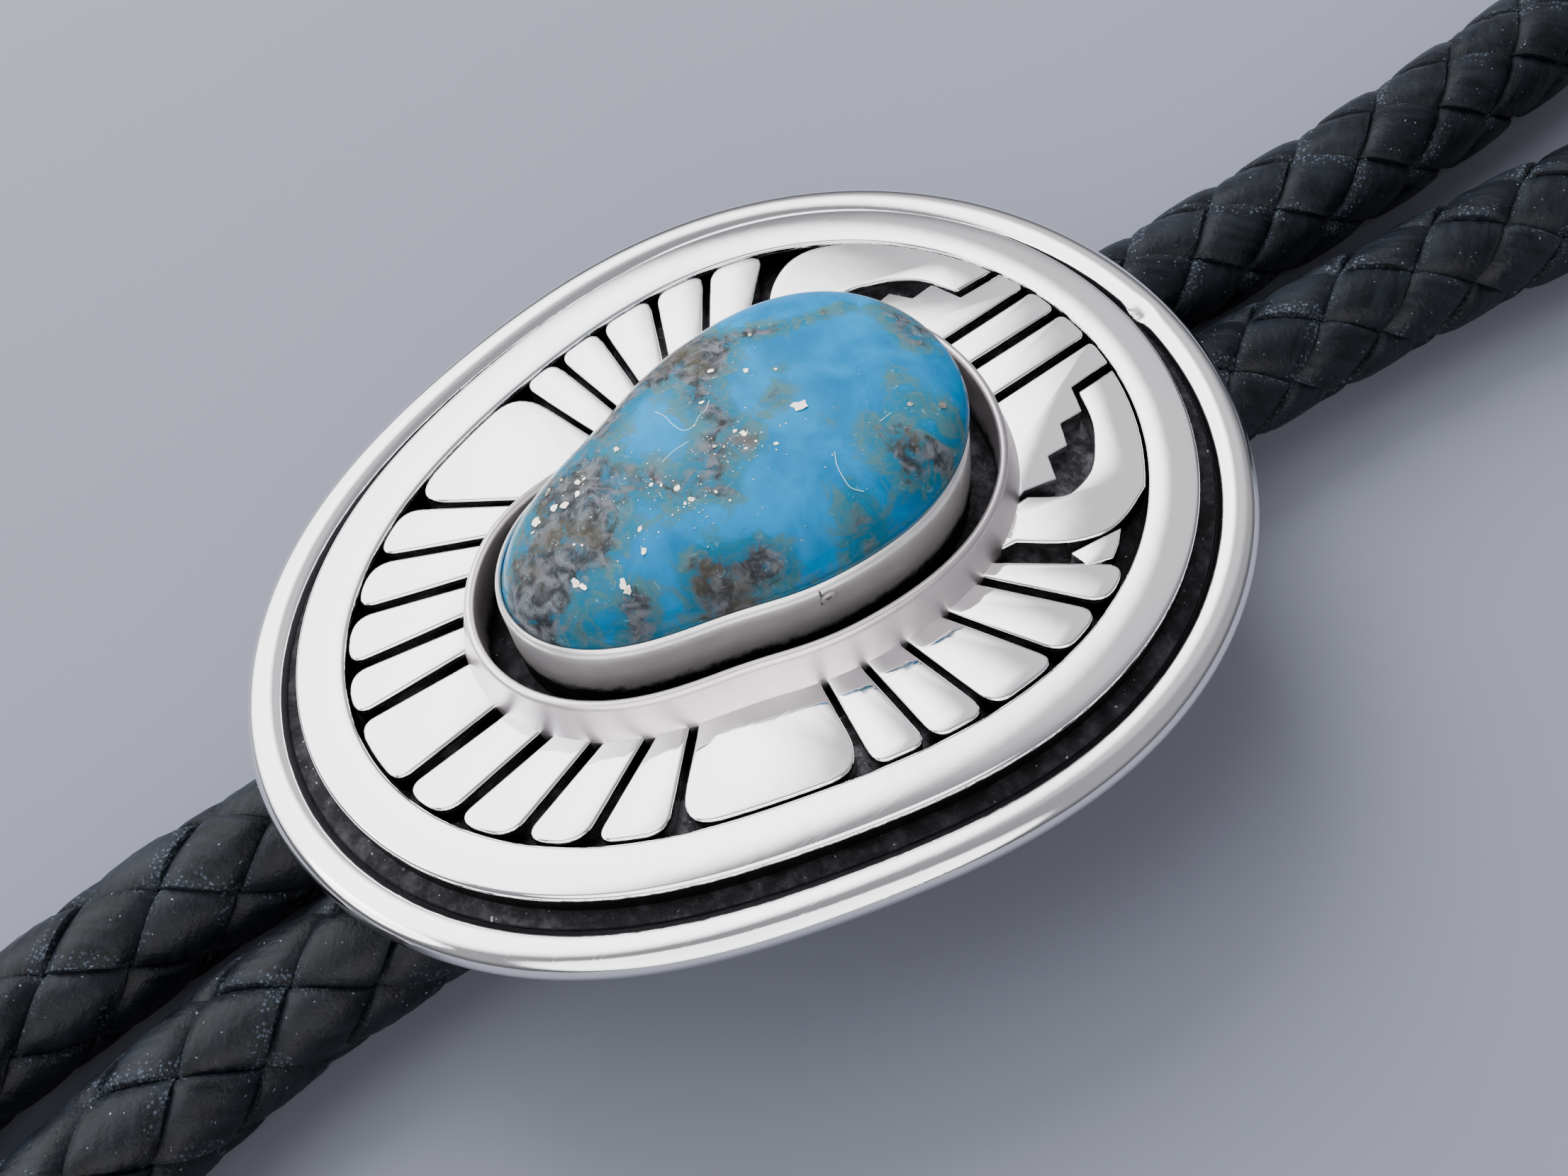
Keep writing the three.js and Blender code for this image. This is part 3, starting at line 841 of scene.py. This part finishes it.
def between(pairs):
    spots = []
    for angle, share in pairs:
        foot = eggPoint(stoneEgg, math.radians(angle), slide["footInset"])
        edge = eggPoint(slideEgg, math.radians(angle), -slide["seam"])
        spots.append(foot.lerp(edge, share))
    return spots


def smoothPoints(pairs, steps):
    spots = between(pairs)
    spots = [spots[0]] + spots + [spots[-1]]
    line = []
    count = len(pairs) - 1
    for k in range(steps + 1):
        at = min(k / steps * count, count - 1e-6)
        i = int(at)
        t = at - i
        a, b, c, d = spots[i : i + 4]
        bend, twist = 2 * a - 5 * b + 4 * c - d, 3 * b - a - 3 * c + d
        line.append(0.5 * (2 * b + (c - a) * t + bend * t**2 + twist * t**3))
    return line


def crookOutline(crook):
    way = math.copysign(1, crook["slit"])
    start = math.radians(crook["slit"]) + way * halfAtBorder
    border = eggArc(slideEgg, start, math.radians(crook["reach"]), -slide["seam"], 10)
    near, far = crook["feet"]
    foot = eggArc(stoneEgg, math.radians(far), math.radians(near), slide["footInset"], 5)
    return border + smoothPoints(crook["outer"], 20)[1:] + foot + smoothPoints(crook["inner"], 28)


def stepsOutline(crook):
    way = math.copysign(1, crook["slit"])
    side, endTurn, footTurn = petalSide(crook["bar"], way)
    end = math.radians(crook["slit"]) - way * halfAtBorder
    outside = eggArc(slideEgg, endTurn, end, -slide["seam"], 3)[1:]
    foot = eggArc(stoneEgg, math.radians(crook["feet"][0]), footTurn, slide["footInset"], 6)[:-1]
    return side + outside + between(crook["steps"]) + foot


def cutPiece(kind, outline):
    return platePiece(kind, outline, seat, face, edgeRounding[kind])


def finishCut(pieces, name):
    cut = joinPieces(pieces, name)
    shadeSmooth(cut, 50)
    dress(cut, petalSilver, "silver")


petals = [cutPiece("petal", petalOutline(a, b)) for a, b in zip(petalSlits, petalSlits[1:])]
petals.append(cutPiece("tornCorner", between(tornCorner)))
finishCut(petals, "featherRing")
bars = [cutPiece("bar", petalOutline(a, b)) for a, b in zip(barSlits, barSlits[1:])]
finishCut(bars, "topBars")
for crook in crooks:
    finishCut([cutPiece("crook", crookOutline(crook))], crook["name"])
    finishCut([cutPiece("steps", stepsOutline(crook))], crook["name"] + "Steps")
print("feathers, bars and stepped blocks made")

collar = {"inner": 1.25, "top": 0.4, "flare": 0.5, "height": 1.95, "sink": 1.2}
collarTop = face + collar["height"]
collarIn, collarOut = collar["inner"], collar["inner"] + collar["top"]
collarFoot = collarOut + collar["flare"]
collarSection = [
    (collarIn, seat, 1), (collarFoot + 0.05, seat, 1), (collarFoot + 0.05, face - 0.05, 0.4),
    (collarFoot - 0.06, face + 0.14, 0), (collarOut + 0.06, collarTop - 0.28, 0),
    (collarOut - 0.04, collarTop - 0.08, 0), (collarOut - 0.16, collarTop, 0),
    (collarIn + 0.12, collarTop, 0), (collarIn + 0.02, collarTop - 0.08, 0),
    (collarIn, collarTop - 0.25, 0), (collarIn, collarTop - 1.2, 0), (collarIn, face + 0.15, 0.2),
]
collarRing = ringPiece("collarRing", stoneEgg, collarSection, collar["sink"])
shadeSmooth(collarRing, 50)
dress(collarRing, collarSilver, "silver")

bezel = {"height": 3.4, "sink": 0.6}
bezelTop = face + bezel["height"]
bezelSection = [
    (-0.42, seat, 1), (0, seat, 1), (0.02, face - 0.1, 1), (0.02, face + 0.35, 0.65),
    (0.02, face + 0.9, 0.25), (0, face + 1.8, 0), (-0.01, bezelTop - 0.45, 0),
    (-0.05, bezelTop - 0.2, 0), (-0.14, bezelTop - 0.06, 0), (-0.22, bezelTop, 0),
    (-0.28, bezelTop - 0.03, 0), (-0.3, bezelTop - 0.12, 0.3),
]
stoneBezel = ringPiece("stoneBezel", stoneEgg, bezelSection, bezel["sink"])
shadeSmooth(stoneBezel, 60)
dress(stoneBezel, bezelSilver, "silver")

# The bezel's soldered seam, and a drop of solder with a pit beside it
solder = {
    "angle": 91.0,
    "height": 14.2,
    "radius": 0.38,
    "pit": 0.1,
    "thick": 0.04,
    "swell": 0.03,
    "soot": 0.55,
}
seam = {"angle": 93.5, "width": 0.07, "thick": 0.03, "below": 0.2, "past": 0.4, "soot": 0.6}


def setAgainstBezel(piece, angle, height):
    turn = math.radians(angle)
    spot = eggPoint(stoneEgg, turn, 0.02) - centre
    outwards = eggPoint(stoneEgg, turn, 1.0) - eggPoint(stoneEgg, turn, 0.0)
    lean = Vector((outwards.x, outwards.y, 0)).to_track_quat("Z", "Y").to_matrix().to_4x4()
    piece.data.transform(Matrix.Translation(Vector((spot.x, spot.y, height)) * mm) @ lean)


def solderDrop():
    deselectAll()
    radius, wall = solder["radius"], (solder["radius"] - solder["pit"]) * mm
    depth = 2 * solder["thick"] * mm
    bpy.ops.mesh.primitive_cylinder_add(vertices=28, radius=radius * mm, depth=depth)
    drop = bpy.context.object
    startEdit("DESELECT")
    endEdit()
    for polygon in drop.data.polygons:
        polygon.select = polygon.normal.z > 0.9
    bpy.ops.object.mode_set(mode="EDIT")
    bpy.ops.mesh.inset(thickness=wall * 0.45)
    bpy.ops.transform.translate(value=(0, 0, solder["swell"] * mm))
    bpy.ops.mesh.inset(thickness=wall * 0.55)
    extrudeFaces(-solder["thick"] * mm)
    endEdit()
    soot = []
    for vertex in drop.data.vertices:
        reach = math.hypot(vertex.co.x, vertex.co.y) / mm
        stained = reach < 1.2 * solder["pit"] or reach > 0.95 * radius
        soot.append(solder["soot"] if stained else 0.0)
    markPoints(drop.data, "soot", soot)
    setAgainstBezel(drop, solder["angle"], solder["height"])
    return drop


def seamLine():
    deselectAll()
    top = bezelTop - seam["below"]
    tall = top - solder["height"] + seam["past"]
    bpy.ops.mesh.primitive_cube_add(size=mm)
    line = bpy.context.object
    line.data.transform(Matrix.Diagonal((seam["width"], tall, seam["thick"], 1)))
    markPoints(line.data, "soot", [seam["soot"]] * len(line.data.vertices))
    setAgainstBezel(line, seam["angle"], top - tall / 2)
    return line


bezelSeam = joinPieces([solderDrop(), seamLine()], "solderedSeam")
shadeSmooth(bezelSeam, 30)
dress(bezelSeam, bezelSilver, "silver")
print("collar and bezel made")

stone = {
    "inset": 0.3,
    "foot": slide["plateTop"] + 0.3,
    "girdle": bezelTop - 0.25,
    "height": 3.45,
    "fullness": (2.9, 0.55, 300),  # mean, swing and the angle where it is fullest
    "crownShift": (0.85, 1.0),
    "cloudDepth": 0.9,
    "cloudSpread": 1.3,
    "edgeStart": 0.93,  # share of the way out where the painted shade at the stone's edge begins
    "edgeShade": 0.42,
}


def fullness(angle):
    mean, swing, at = stone["fullness"]
    return mean + swing * math.cos(angle - math.radians(at))


def stonePoint(x, y):  # where a spot seen from above lies on the dome
    rise = 0.0
    for _ in range(30):
        px, py = x - stone["crownShift"][0] * rise, y - stone["crownShift"][1] * rise
        angle = math.atan2(px, py)
        full = fullness(angle)
        width = min(1.0, math.hypot(px, py) / eggPoint(stoneEgg, angle, -stone["inset"]).length)
        rise = 0.5 * rise + 0.5 * max(0.0, 1 - width**full) ** (1 / full)
    return Vector((x - centre.x, y - centre.y, stone["girdle"] + rise * stone["height"]))


def stoneNormal(x, y):
    here = stonePoint(x, y)
    return (stonePoint(x + 0.05, y) - here).cross(stonePoint(x, y + 0.05) - here).normalized()


# Matrix clouds: place on the outline's own axes, reach and strength
clouds = [
    (-5.2, 1.7, 1.4, 1), (-5.35, -0.35, 0.9, 1), (-5.25, -2.9, 1.1, 1), (-4.75, -4.45, 1.25, 0.9),
    (-3.5, 1.7, 1.05, 0.75), (-2.1, 0.05, 0.95, 0.7), (-0.6, 0.5, 0.6, 0.65),
    (0.5, 0.6, 0.75, 0.6), (0.3, -0.85, 0.85, 0.55), (1.45, 0.55, 0.7, 0.55),
    (0.1, 2.75, 0.6, 0.75), (-1, 3.8, 0.5, 0.5), (1.25, -1.85, 1, 0.62), (2.35, -1.5, 0.75, 0.65),
    (0.5, -3.4, 0.7, 0.55), (1.9, -3.65, 0.7, 0.45), (-1, -4.6, 1.2, 0.55),
    (-1.15, -5.5, 1.4, 0.62), (-1.9, -6.35, 1.2, 0.8), (-1.9, -7.3, 1.3, 0.8),
    (0, -6.9, 1.2, 0.7), (-0.1, -8.5, 1.5, 1), (0.1, -9.35, 1.4, 1), (1.15, -8, 1, 0.6),
    (1.45, -6.95, 0.7, 0.6), (1.4, -5.55, 0.6, 0.5), (0.9, -10.4, 1.05, 0.72),
    (0.95, -10.9, 0.95, 0.65), (1.75, -10.25, 0.9, 0.5), (3.9, -7.1, 0.7, 1), (4.8, -4, 1.05, 1),
    (5.35, -4, 0.8, 0.75), (5.35, -2.35, 0.7, 0.95), (5.3, -1.8, 0.5, 0.85),
    (5.95, -1.2, 0.6, 0.65), (4.95, 5.45, 1.2, 0.85), (5.9, 5.2, 0.7, 0.8),
    (3.65, 7.35, 0.8, 0.65), (5, 8.2, 0.7, 0.6), (5.8, 6.45, 0.5, 0.75), (6.35, 7, 0.6, 0.75),
    (-0.4, 9.8, 1.05, 0.95), (0.75, 9.5, 0.7, 0.75), (2.1, 7.25, 0.5, 0.55),
    (5.7, 2.45, 0.8, 0.65), (6.95, 1.55, 0.7, 0.65), (6.95, 2.7, 0.6, 0.55),
    (2.4, 3.9, 0.6, 0.45), (3.65, 5.05, 0.5, 0.45), (-4.1, 2.65, 0.6, 0.75),
    (-3.7, 3.95, 0.5, 0.95), (-3.3, 4.6, 0.4, 0.75), (-3.05, 5.25, 0.45, 0.75),
    (-2.8, 6.1, 0.38, 0.7), (-2.6, 7.05, 0.4, 0.75), (-2.5, 8.15, 0.45, 0.75),
    (-2, 9.7, 0.6, 0.75), (3.3, -9.15, 0.7, 0.55), (4.4, -7.4, 0.7, 0.55),
    (5.65, -3.5, 0.7, 0.55), (-4.9, 0.6, 1.0, 0.8), (-5.0, -1.7, 0.9, 0.75),
    (-3.6, -3.4, 0.9, 0.5), (-2.6, -4.9, 0.8, 0.5), (-3.2, -6.6, 0.9, 0.55),
    (-2.9, 0.8, 0.7, 0.6), (-1.3, 0.3, 0.7, 0.55), (0.9, -0.9, 0.7, 0.55), (1.3, -2.7, 0.6, 0.55),
    (-0.2, -4.0, 0.7, 0.45),
]


def cloudAndEdgeShade(x, y, width):
    clear = 1.0
    for cloudX, cloudY, spread, strength in clouds:
        away = ((x - cloudX) ** 2 + (y - cloudY) ** 2) / (spread * stone["cloudSpread"]) ** 2
        clear *= 1 - stone["cloudDepth"] * strength * math.exp(-away)
    # painted shade: the stone darkens towards its edge, and this goes into the same field as the
    # matrix clouds
    edge = max(0.0, (width - stone["edgeStart"]) / (1 - stone["edgeStart"]))
    return max(1 - clear, stone["edgeShade"] * edge)


def domedStone():
    deselectAll()
    bpy.ops.mesh.primitive_uv_sphere_add(segments=216, ring_count=112, radius=1)
    dome = bpy.context.object
    dome.name = "turquoiseDome"
    startEdit()
    bpy.ops.mesh.bisect(plane_co=(0, 0, 0), plane_no=(0, 0, 1), clear_inner=True, use_fill=False)
    bpy.ops.mesh.select_all(action="DESELECT")
    bpy.ops.mesh.select_non_manifold()
    extrudeEdges(-1)
    bpy.ops.mesh.edge_face_add()
    endEdit()
    cloudAndShadeValues = []
    for vertex in dome.data.vertices:
        angle = math.atan2(vertex.co.x, vertex.co.y)
        power = 2 / fullness(angle)
        climb = max(0.0, vertex.co.z)
        width = math.hypot(vertex.co.x, vertex.co.y) ** power
        rise = climb**power
        reach = eggPoint(stoneEgg, angle, -stone["inset"])
        x = reach.x * width + stone["crownShift"][0] * rise
        y = reach.y * width + stone["crownShift"][1] * rise
        height = stone["girdle"] + rise * stone["height"]
        if vertex.co.z < -0.5:
            height = stone["foot"]
        vertex.co = ((x - centre.x) * mm, (y - centre.y) * mm, height * mm)
        cloudAndShadeValues.append(cloudAndEdgeShade(x, y, width))
    markPoints(dome.data, "cloudWithEdgeShade", cloudAndShadeValues)
    faceOutwards(dome)
    shadeSmooth(dome, 50)
    return dome


turquoiseTones = {
    "deepBlue": (0.0, 0.083, 0.2, 1),
    "blue": (0.0, 0.14, 0.32, 1),
    "paleBlue": (0.0, 0.17, 0.3, 1),
    "teal": (0.006, 0.078, 0.125, 1),
    "green": (0.04, 0.095, 0.098, 1),
    "black": (0.016, 0.018, 0.02, 1),
    "grey": (0.085, 0.092, 0.105, 1),
    "brown": (0.044, 0.039, 0.025, 1),
    "wisp": (0.15, 0.33, 0.38, 1),
    "speck": (0.3, 0.5, 0.62, 1),
}


def turquoiseFinish():
    turquoise = Finish("polishedTurquoise", Specular_IOR_Level=0.045)
    place = turquoise.millimetres()
    tones = turquoiseTones
    mottle = turquoise.noise(place, 0.32, 4, 0.55, 0.4)
    fine = turquoise.noise(place, 1.5, 5, 0.62, 0.5)
    grit = turquoise.noise(place, 5.0, 4, 0.7)
    patch = turquoise.noise(place, 0.85, 6, 0.66, 1.1)
    pale = turquoise.ramp(turquoise.noise(place, 0.75, 4, 0.6), 0.58, 0.8, 0, 0.4)
    blue = turquoise.mix(turquoise.ramp(mottle, 0.32, 0.68), tones["deepBlue"], tones["blue"])
    blue = turquoise.mix(pale, blue, tones["paleBlue"])
    patches = turquoise.times(turquoise.math("SUBTRACT", patch, 0.5), 1.3)
    crumbs = turquoise.times(turquoise.math("SUBTRACT", fine, 0.5), 0.35)
    # the cloud field also holds the painted shade at the stone's edge, which turns into matrix
    # colour here
    broken = turquoise.plus(turquoise.plus(turquoise.field("cloudWithEdgeShade"), patches), crumbs)
    green = turquoise.ramp(broken, 0.16, 0.52, 0, 0.88)
    brown = turquoise.ramp(broken, 0.55, 0.9)
    teal = turquoise.mix(turquoise.ramp(patch, 0.4, 0.6), tones["teal"], tones["green"])
    rusty = turquoise.ramp(turquoise.noise(place, 0.5, 2), 0.5, 0.7, 0, 0.6)
    earth = turquoise.mix(turquoise.ramp(fine, 0.38, 0.66), tones["black"], tones["grey"])
    earth = turquoise.mix(rusty, earth, tones["brown"])
    wisps = turquoise.ramp(turquoise.noise(place, 2.6, 5, 0.7, 1.2), 0.58, 0.75, 0, 0.55)
    colour = turquoise.mix(green, blue, teal)
    colour = turquoise.mix(brown, colour, earth)
    colour = turquoise.mix(turquoise.times(wisps, green), colour, tones["wisp"])
    speck = turquoise.ramp(turquoise.noise(place, 6.5, 2, 0.6), 0.75, 0.8, 0, 0.55)
    colour = turquoise.mix(speck, colour, tones["speck"])
    turquoise.wire(colour, "Base Color")
    turquoise.wire(turquoise.ramp(fine, 0.3, 0.7, 0.08, 0.18), "Roughness")
    pits = turquoise.times(brown, grit)
    turquoise.wire(turquoise.bump(pits, 0.25, 0.04), "Normal")
    return turquoise.material


stoneDome = domedStone()
dress(stoneDome, turquoiseFinish(), "turquoise", "turquoise_stone")

# Pyrite flecks: place and size. The small ones are strewn round a few spots.
flecks = [
    (1, 3.22, 0.34), (4.28, 8.11, 0.23), (3.63, 6.9, 0.12), (-2.3, -3.78, 0.15),
    (-1.79, 0.21, 0.12), (-2.62, 7.04, 0.1), (-3.65, 3.92, 0.14), (-1.55, -6.82, 0.21),
    (-1.85, -7.2, 0.18), (-1.93, -8.13, 0.25), (-1.66, -8.5, 0.12), (-2.79, -8.96, 0.15),
    (-2.94, -6.94, 0.2), (-2.09, -5.87, 0.16), (-2.04, -5.57, 0.1), (-2.9, -6.25, 0.1),
    (-1.57, -6.18, 0.15), (1.7, -8.41, 0.2), (2, -8.27, 0.18), (3.04, -6.97, 0.2),
    (3.3, -6.97, 0.2), (1.36, -10.11, 0.25), (2.09, -9.73, 0.3), (1.62, -9.67, 0.2),
    (-0.06, -10.6, 0.15), (0.55, -10.55, 0.12), (-0.45, -10.35, 0.09), (1.17, -2.97, 0.14),
    (1.97, -2.82, 0.14), (1.97, -3.13, 0.1), (0.6, -3.39, 0.1), (0.31, -3.69, 0.1),
    (0.36, 0.42, 0.11), (0.7, 0.62, 0.14), (0.47, -0.66, 0.11), (1.98, 1.36, 0.12),
    (1.34, 0.8, 0.09), (1.39, 0.26, 0.09), (1.69, -5.17, 0.12), (2.57, -5.58, 0.15),
    (-3.02, 1.47, 0.15), (-1.99, 2.61, 0.12), (-1.2, 3.59, 0.1), (2.32, -1.87, 0.09),
    (2.95, -1.64, 0.07), (0.33, -7.56, 0.07), (0.6, -7.33, 0.07),
]
strewn = [
    {"at": (0.9, -0.1), "spread": 0.95, "count": 55},
    {"at": (1.9, -2.6), "spread": 0.75, "count": 24},
    {"at": (0.5, -3.4), "spread": 0.5, "count": 16},
    {"at": (-2.2, -6.2), "spread": 1.15, "count": 30},
    {"at": (-3, 2.2), "spread": 0.9, "count": 12},
    {"at": (2.2, -5.6), "spread": 0.7, "count": 10},
    {"at": (2, 3), "spread": 3.2, "count": 34},
]


fleckShape = {
    "big": 0.1,
    "corners": {"big": 9, "small": 5},
    "thick": 0.05,
    "lean": 0.12,
    "lift": 0.012,
    "liftShare": 0.06,
}
fleckArea = {"middle": (0.7, 1), "tall": 1.55, "radius": 6.6}


def inFleckArea(x, y):
    middleX, middleY = fleckArea["middle"]
    return math.hypot(x - middleX, (y - middleY) / fleckArea["tall"]) <= fleckArea["radius"]


def pyriteFlecks():
    spots = list(flecks)
    for patch in strewn:
        for _ in range(patch["count"]):
            x, y = (random.gauss(c, patch["spread"]) for c in patch["at"])
            spots.append((x, y, random.uniform(0.014, 0.042)))
    made = []
    for x, y, size in spots:
        if not inFleckArea(x, y):
            continue
        big = size > fleckShape["big"]
        corners = fleckShape["corners"]["big" if big else "small"]
        stretch = random.uniform(0.6, 1.0)
        normal = stoneNormal(x, y)
        lean = Vector()
        if big:
            lean.x, lean.y = (random.uniform(-1, 1) * fleckShape["lean"] for _ in range(2))
        turn = (normal + lean).to_track_quat("Z", "Y").to_matrix().to_4x4()
        deselectAll()
        bpy.ops.mesh.primitive_circle_add(vertices=corners, radius=size * mm, fill_type="NGON")
        fleck = bpy.context.object
        for vertex in fleck.data.vertices:
            vertex.co *= random.uniform(0.62, 1.3)
            vertex.co.x *= stretch
        fleck.data.transform(Matrix.Rotation(random.uniform(0, math.pi), 4, "Z"))
        startEdit()
        extrudeFaces(-fleckShape["thick"] * mm)
        endEditFacingOut()
        lift = fleckShape["lift"] + fleckShape["liftShare"] * size
        place = Matrix.Translation((stonePoint(x, y) + normal * lift) * mm)
        fleck.data.transform(place @ turn)
        made.append(fleck)
    return joinPieces(made, "pyriteFlecks")


pyriteTones = ((0.55, 0.48, 0.38, 1), (0.93, 0.9, 0.82, 1))


def pyriteFinish():
    pyrite = Finish("pyrite", Metallic=1.0)
    grit = pyrite.noise(pyrite.millimetres(), 6.0, 4, 0.7)
    pyrite.wire(pyrite.mix(pyrite.ramp(grit, 0.3, 0.7), *pyriteTones), "Base Color")
    pyrite.wire(pyrite.ramp(grit, 0.3, 0.7, 0.18, 0.4), "Roughness")
    pyrite.wire(pyrite.bump(grit, 0.4, 0.02), "Normal")
    return pyrite.material


goldFlecks = pyriteFlecks()
dress(goldFlecks, pyriteFinish(), "turquoise")

# Fine pale threads in the stone
threads = [
    [
        (-2.84, -1.49), (-2.35, -1.34), (-1.77, -1.34), (-1.06, -1.17), (-0.98, -0.72),
        (-1.27, -0.26), (-1.34, 0.1), (-1.67, 0.52),
    ],
    [(3.75, 2.99), (4.26, 2.71), (4.87, 2.58), (5.35, 2.58), (5.74, 2.92)],
    [(-0.31, -2.76), (-0.46, -2.08), (-0.45, -1.31)],
    [(3.66, 5.33), (3.58, 5.97)],
]
threadRadius = 0.016


def paleThreads():
    made = []
    for thread in threads:
        curve = bpy.data.curves.new("thread", "CURVE")
        curve.dimensions = "3D"
        curve.bevel_depth = threadRadius * mm
        curve.bevel_resolution = 1
        line = smoothLine([(x, y, 0) for x, y in thread], 0.15)
        spline = curve.splines.new("POLY")
        spline.points.add(len(line) - 1)
        for point, (x, y, _) in zip(spline.points, line):
            point.co = (*(stonePoint(x, y) * mm), 1)
        piece = bpy.data.objects.new("thread", curve)
        bpy.context.scene.collection.objects.link(piece)
        pick(piece)
        bpy.ops.object.convert(target="MESH")
        made.append(bpy.context.object)
    return joinPieces(made, "paleThreads")


def threadFinish():
    pale = Finish("paleThread", Coat_Weight=0.5)
    haze = pale.noise(pale.millimetres(), 3.0, 3)
    tones = ((0.12, 0.42, 0.6, 1), (0.45, 0.66, 0.72, 1))
    pale.wire(pale.mix(haze, *tones), "Base Color")
    pale.wire(pale.ramp(haze, 0.3, 0.7, 0.25, 0.4), "Roughness")
    return pale.material


stoneThreads = paleThreads()
dress(stoneThreads, threadFinish(), "turquoise")
print("stone, flecks and threads made")


# The clip behind the slide stays the part's own solid.
def brushedFinish():
    steel = Finish("brushedSteel", Metallic=1.0)
    lines = steel.noise(steel.millimetres(stretch=(9, 0.35, 9)), 1.0, 4, 0.65)
    haze = steel.noise(steel.millimetres(), 0.5, 3)
    steel.wire(steel.mix(haze, (0.58, 0.58, 0.6, 1), (0.7, 0.7, 0.71, 1)), "Base Color")
    steel.wire(steel.ramp(lines, 0.3, 0.7, 0.22, 0.4), "Roughness")
    steel.wire(steel.bump(lines, 0.2, 0.02), "Normal")
    return steel.material


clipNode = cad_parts["cord_clip"]
clipNode.data.materials.clear()
clipNode.data.materials.append(brushedFinish())
print("clip dressed")

# Floor and light
studio = {
    "floor": (0.117, 0.126, 0.158, 1),
    "high": (0.3, 0.29, 0.315, 1),
    "low": (0.1, 0.102, 0.115, 1),
    "band": (0.1, 0.42),  # heights between which the air turns from low to high
    "strength": 1.35,
    # broad soft glows: towards, cosines where one starts and is full, power and colour
    "glows": [
        ((-0.62, -0.3, 0.72), (0.67, 0.88), 2.9, (0.985, 0.985, 1)),
        ((-0.35, 0.5, 0.8), (0.8, 0.97), 0.36, (1, 0.94, 0.965)),
        ((0.76, -0.37, 0.53), (0.82, 0.89), 2.5, (1, 0.965, 0.965)),
        ((-0.15, -0.85, 0.5), (0.95, 0.97), 3.0, (0.97, 0.97, 1)),
    ],
    # the darker side of the room: towards, cosines and the light that is left there
    "shade": ((0.48, -0.23, 0.84), (0.86, 0.96), 0.88),
}


def floorFinish():
    paper = Finish("paleFloor", Roughness=0.85)
    haze = paper.noise(paper.millimetres(), 0.02, 2)
    darker = tuple(0.97 * v for v in studio["floor"][:3]) + (1,)
    paper.wire(paper.mix(haze, studio["floor"], darker), "Base Color")
    return paper.material


deselectAll()
bpy.ops.mesh.primitive_plane_add(size=6, location=(0, 0, 0))
floor = bpy.context.object
floor.name = "paleFloor"
floor.data.materials.append(floorFinish())


# From low to high as a direction turns towards a light.
def turnedTowards(air, direction, light, low, high):
    towards, (start, full) = Vector(light[0]).normalized(), light[1]
    facing = addNode(air, "VectorMath", {0: direction, 1: towards}, operation="DOT_PRODUCT")
    limits = {"From Min": start, "From Max": full, "To Min": low, "To Max": high}
    limits["Value"] = facing.outputs["Value"]
    return addNode(air, "MapRange", limits, interpolation_type="SMOOTHSTEP").outputs[0]


def studioAir():
    world = bpy.data.worlds.new("studioAir")
    world.use_nodes = True
    air = world.node_tree
    direction = addNode(air, "TexCoord").outputs["Generated"]
    height = addNode(air, "SeparateXYZ", {0: direction}).outputs["Z"]
    low, high = studio["band"]
    rise = {"Value": height, "From Min": low, "From Max": high}
    rise = addNode(air, "MapRange", rise, interpolation_type="SMOOTHSTEP").outputs[0]
    colour = {0: rise, 6: studio["low"], 7: studio["high"]}
    colour = addNode(air, "Mix", colour, data_type="RGBA").outputs[2]
    for glow in studio["glows"]:
        power = turnedTowards(air, direction, glow, 0.0, glow[2])
        lit = addNode(air, "VectorMath", {0: glow[3], "Scale": power}, operation="SCALE")
        sums = {0: colour, 1: lit.outputs[0]}
        colour = addNode(air, "VectorMath", sums, operation="ADD").outputs[0]
    left = turnedTowards(air, direction, studio["shade"], 1.0, studio["shade"][2])
    colour = addNode(air, "VectorMath", {0: colour, "Scale": left}, operation="SCALE").outputs[0]
    air.links.new(colour, air.nodes["Background"].inputs["Color"])
    air.nodes["Background"].inputs["Strength"].default_value = studio["strength"]
    bpy.context.scene.world = world


studioAir()

# Softboxes: place, size, power and colour
softboxes = {
    "keyLight": ((-0.26, 0.03, 0.22), (0.22, 0.22), 3.2, (1, 0.985, 0.97)),
    "backLight": ((-0.15, 0.75, 0.7), (0.7, 0.3), 0.2, (0.95, 0.97, 1)),
    "sideLight": ((0.75, -0.35, 0.35), (0.4, 0.25), 0.1, (1, 0.97, 0.95)),
}
for name, (place, size, power, colour) in softboxes.items():
    light = bpy.data.lights.new(name, "AREA")
    light.shape = "RECTANGLE"
    light.size, light.size_y = size
    light.energy = power
    light.color = colour
    lamp = bpy.data.objects.new(name, light)
    lamp.location = place
    lamp.rotation_euler = (-Vector(place)).to_track_quat("-Z", "Y").to_euler()
    lamp.visible_glossy = False
    bpy.context.scene.collection.objects.link(lamp)
print("floor and lights placed")
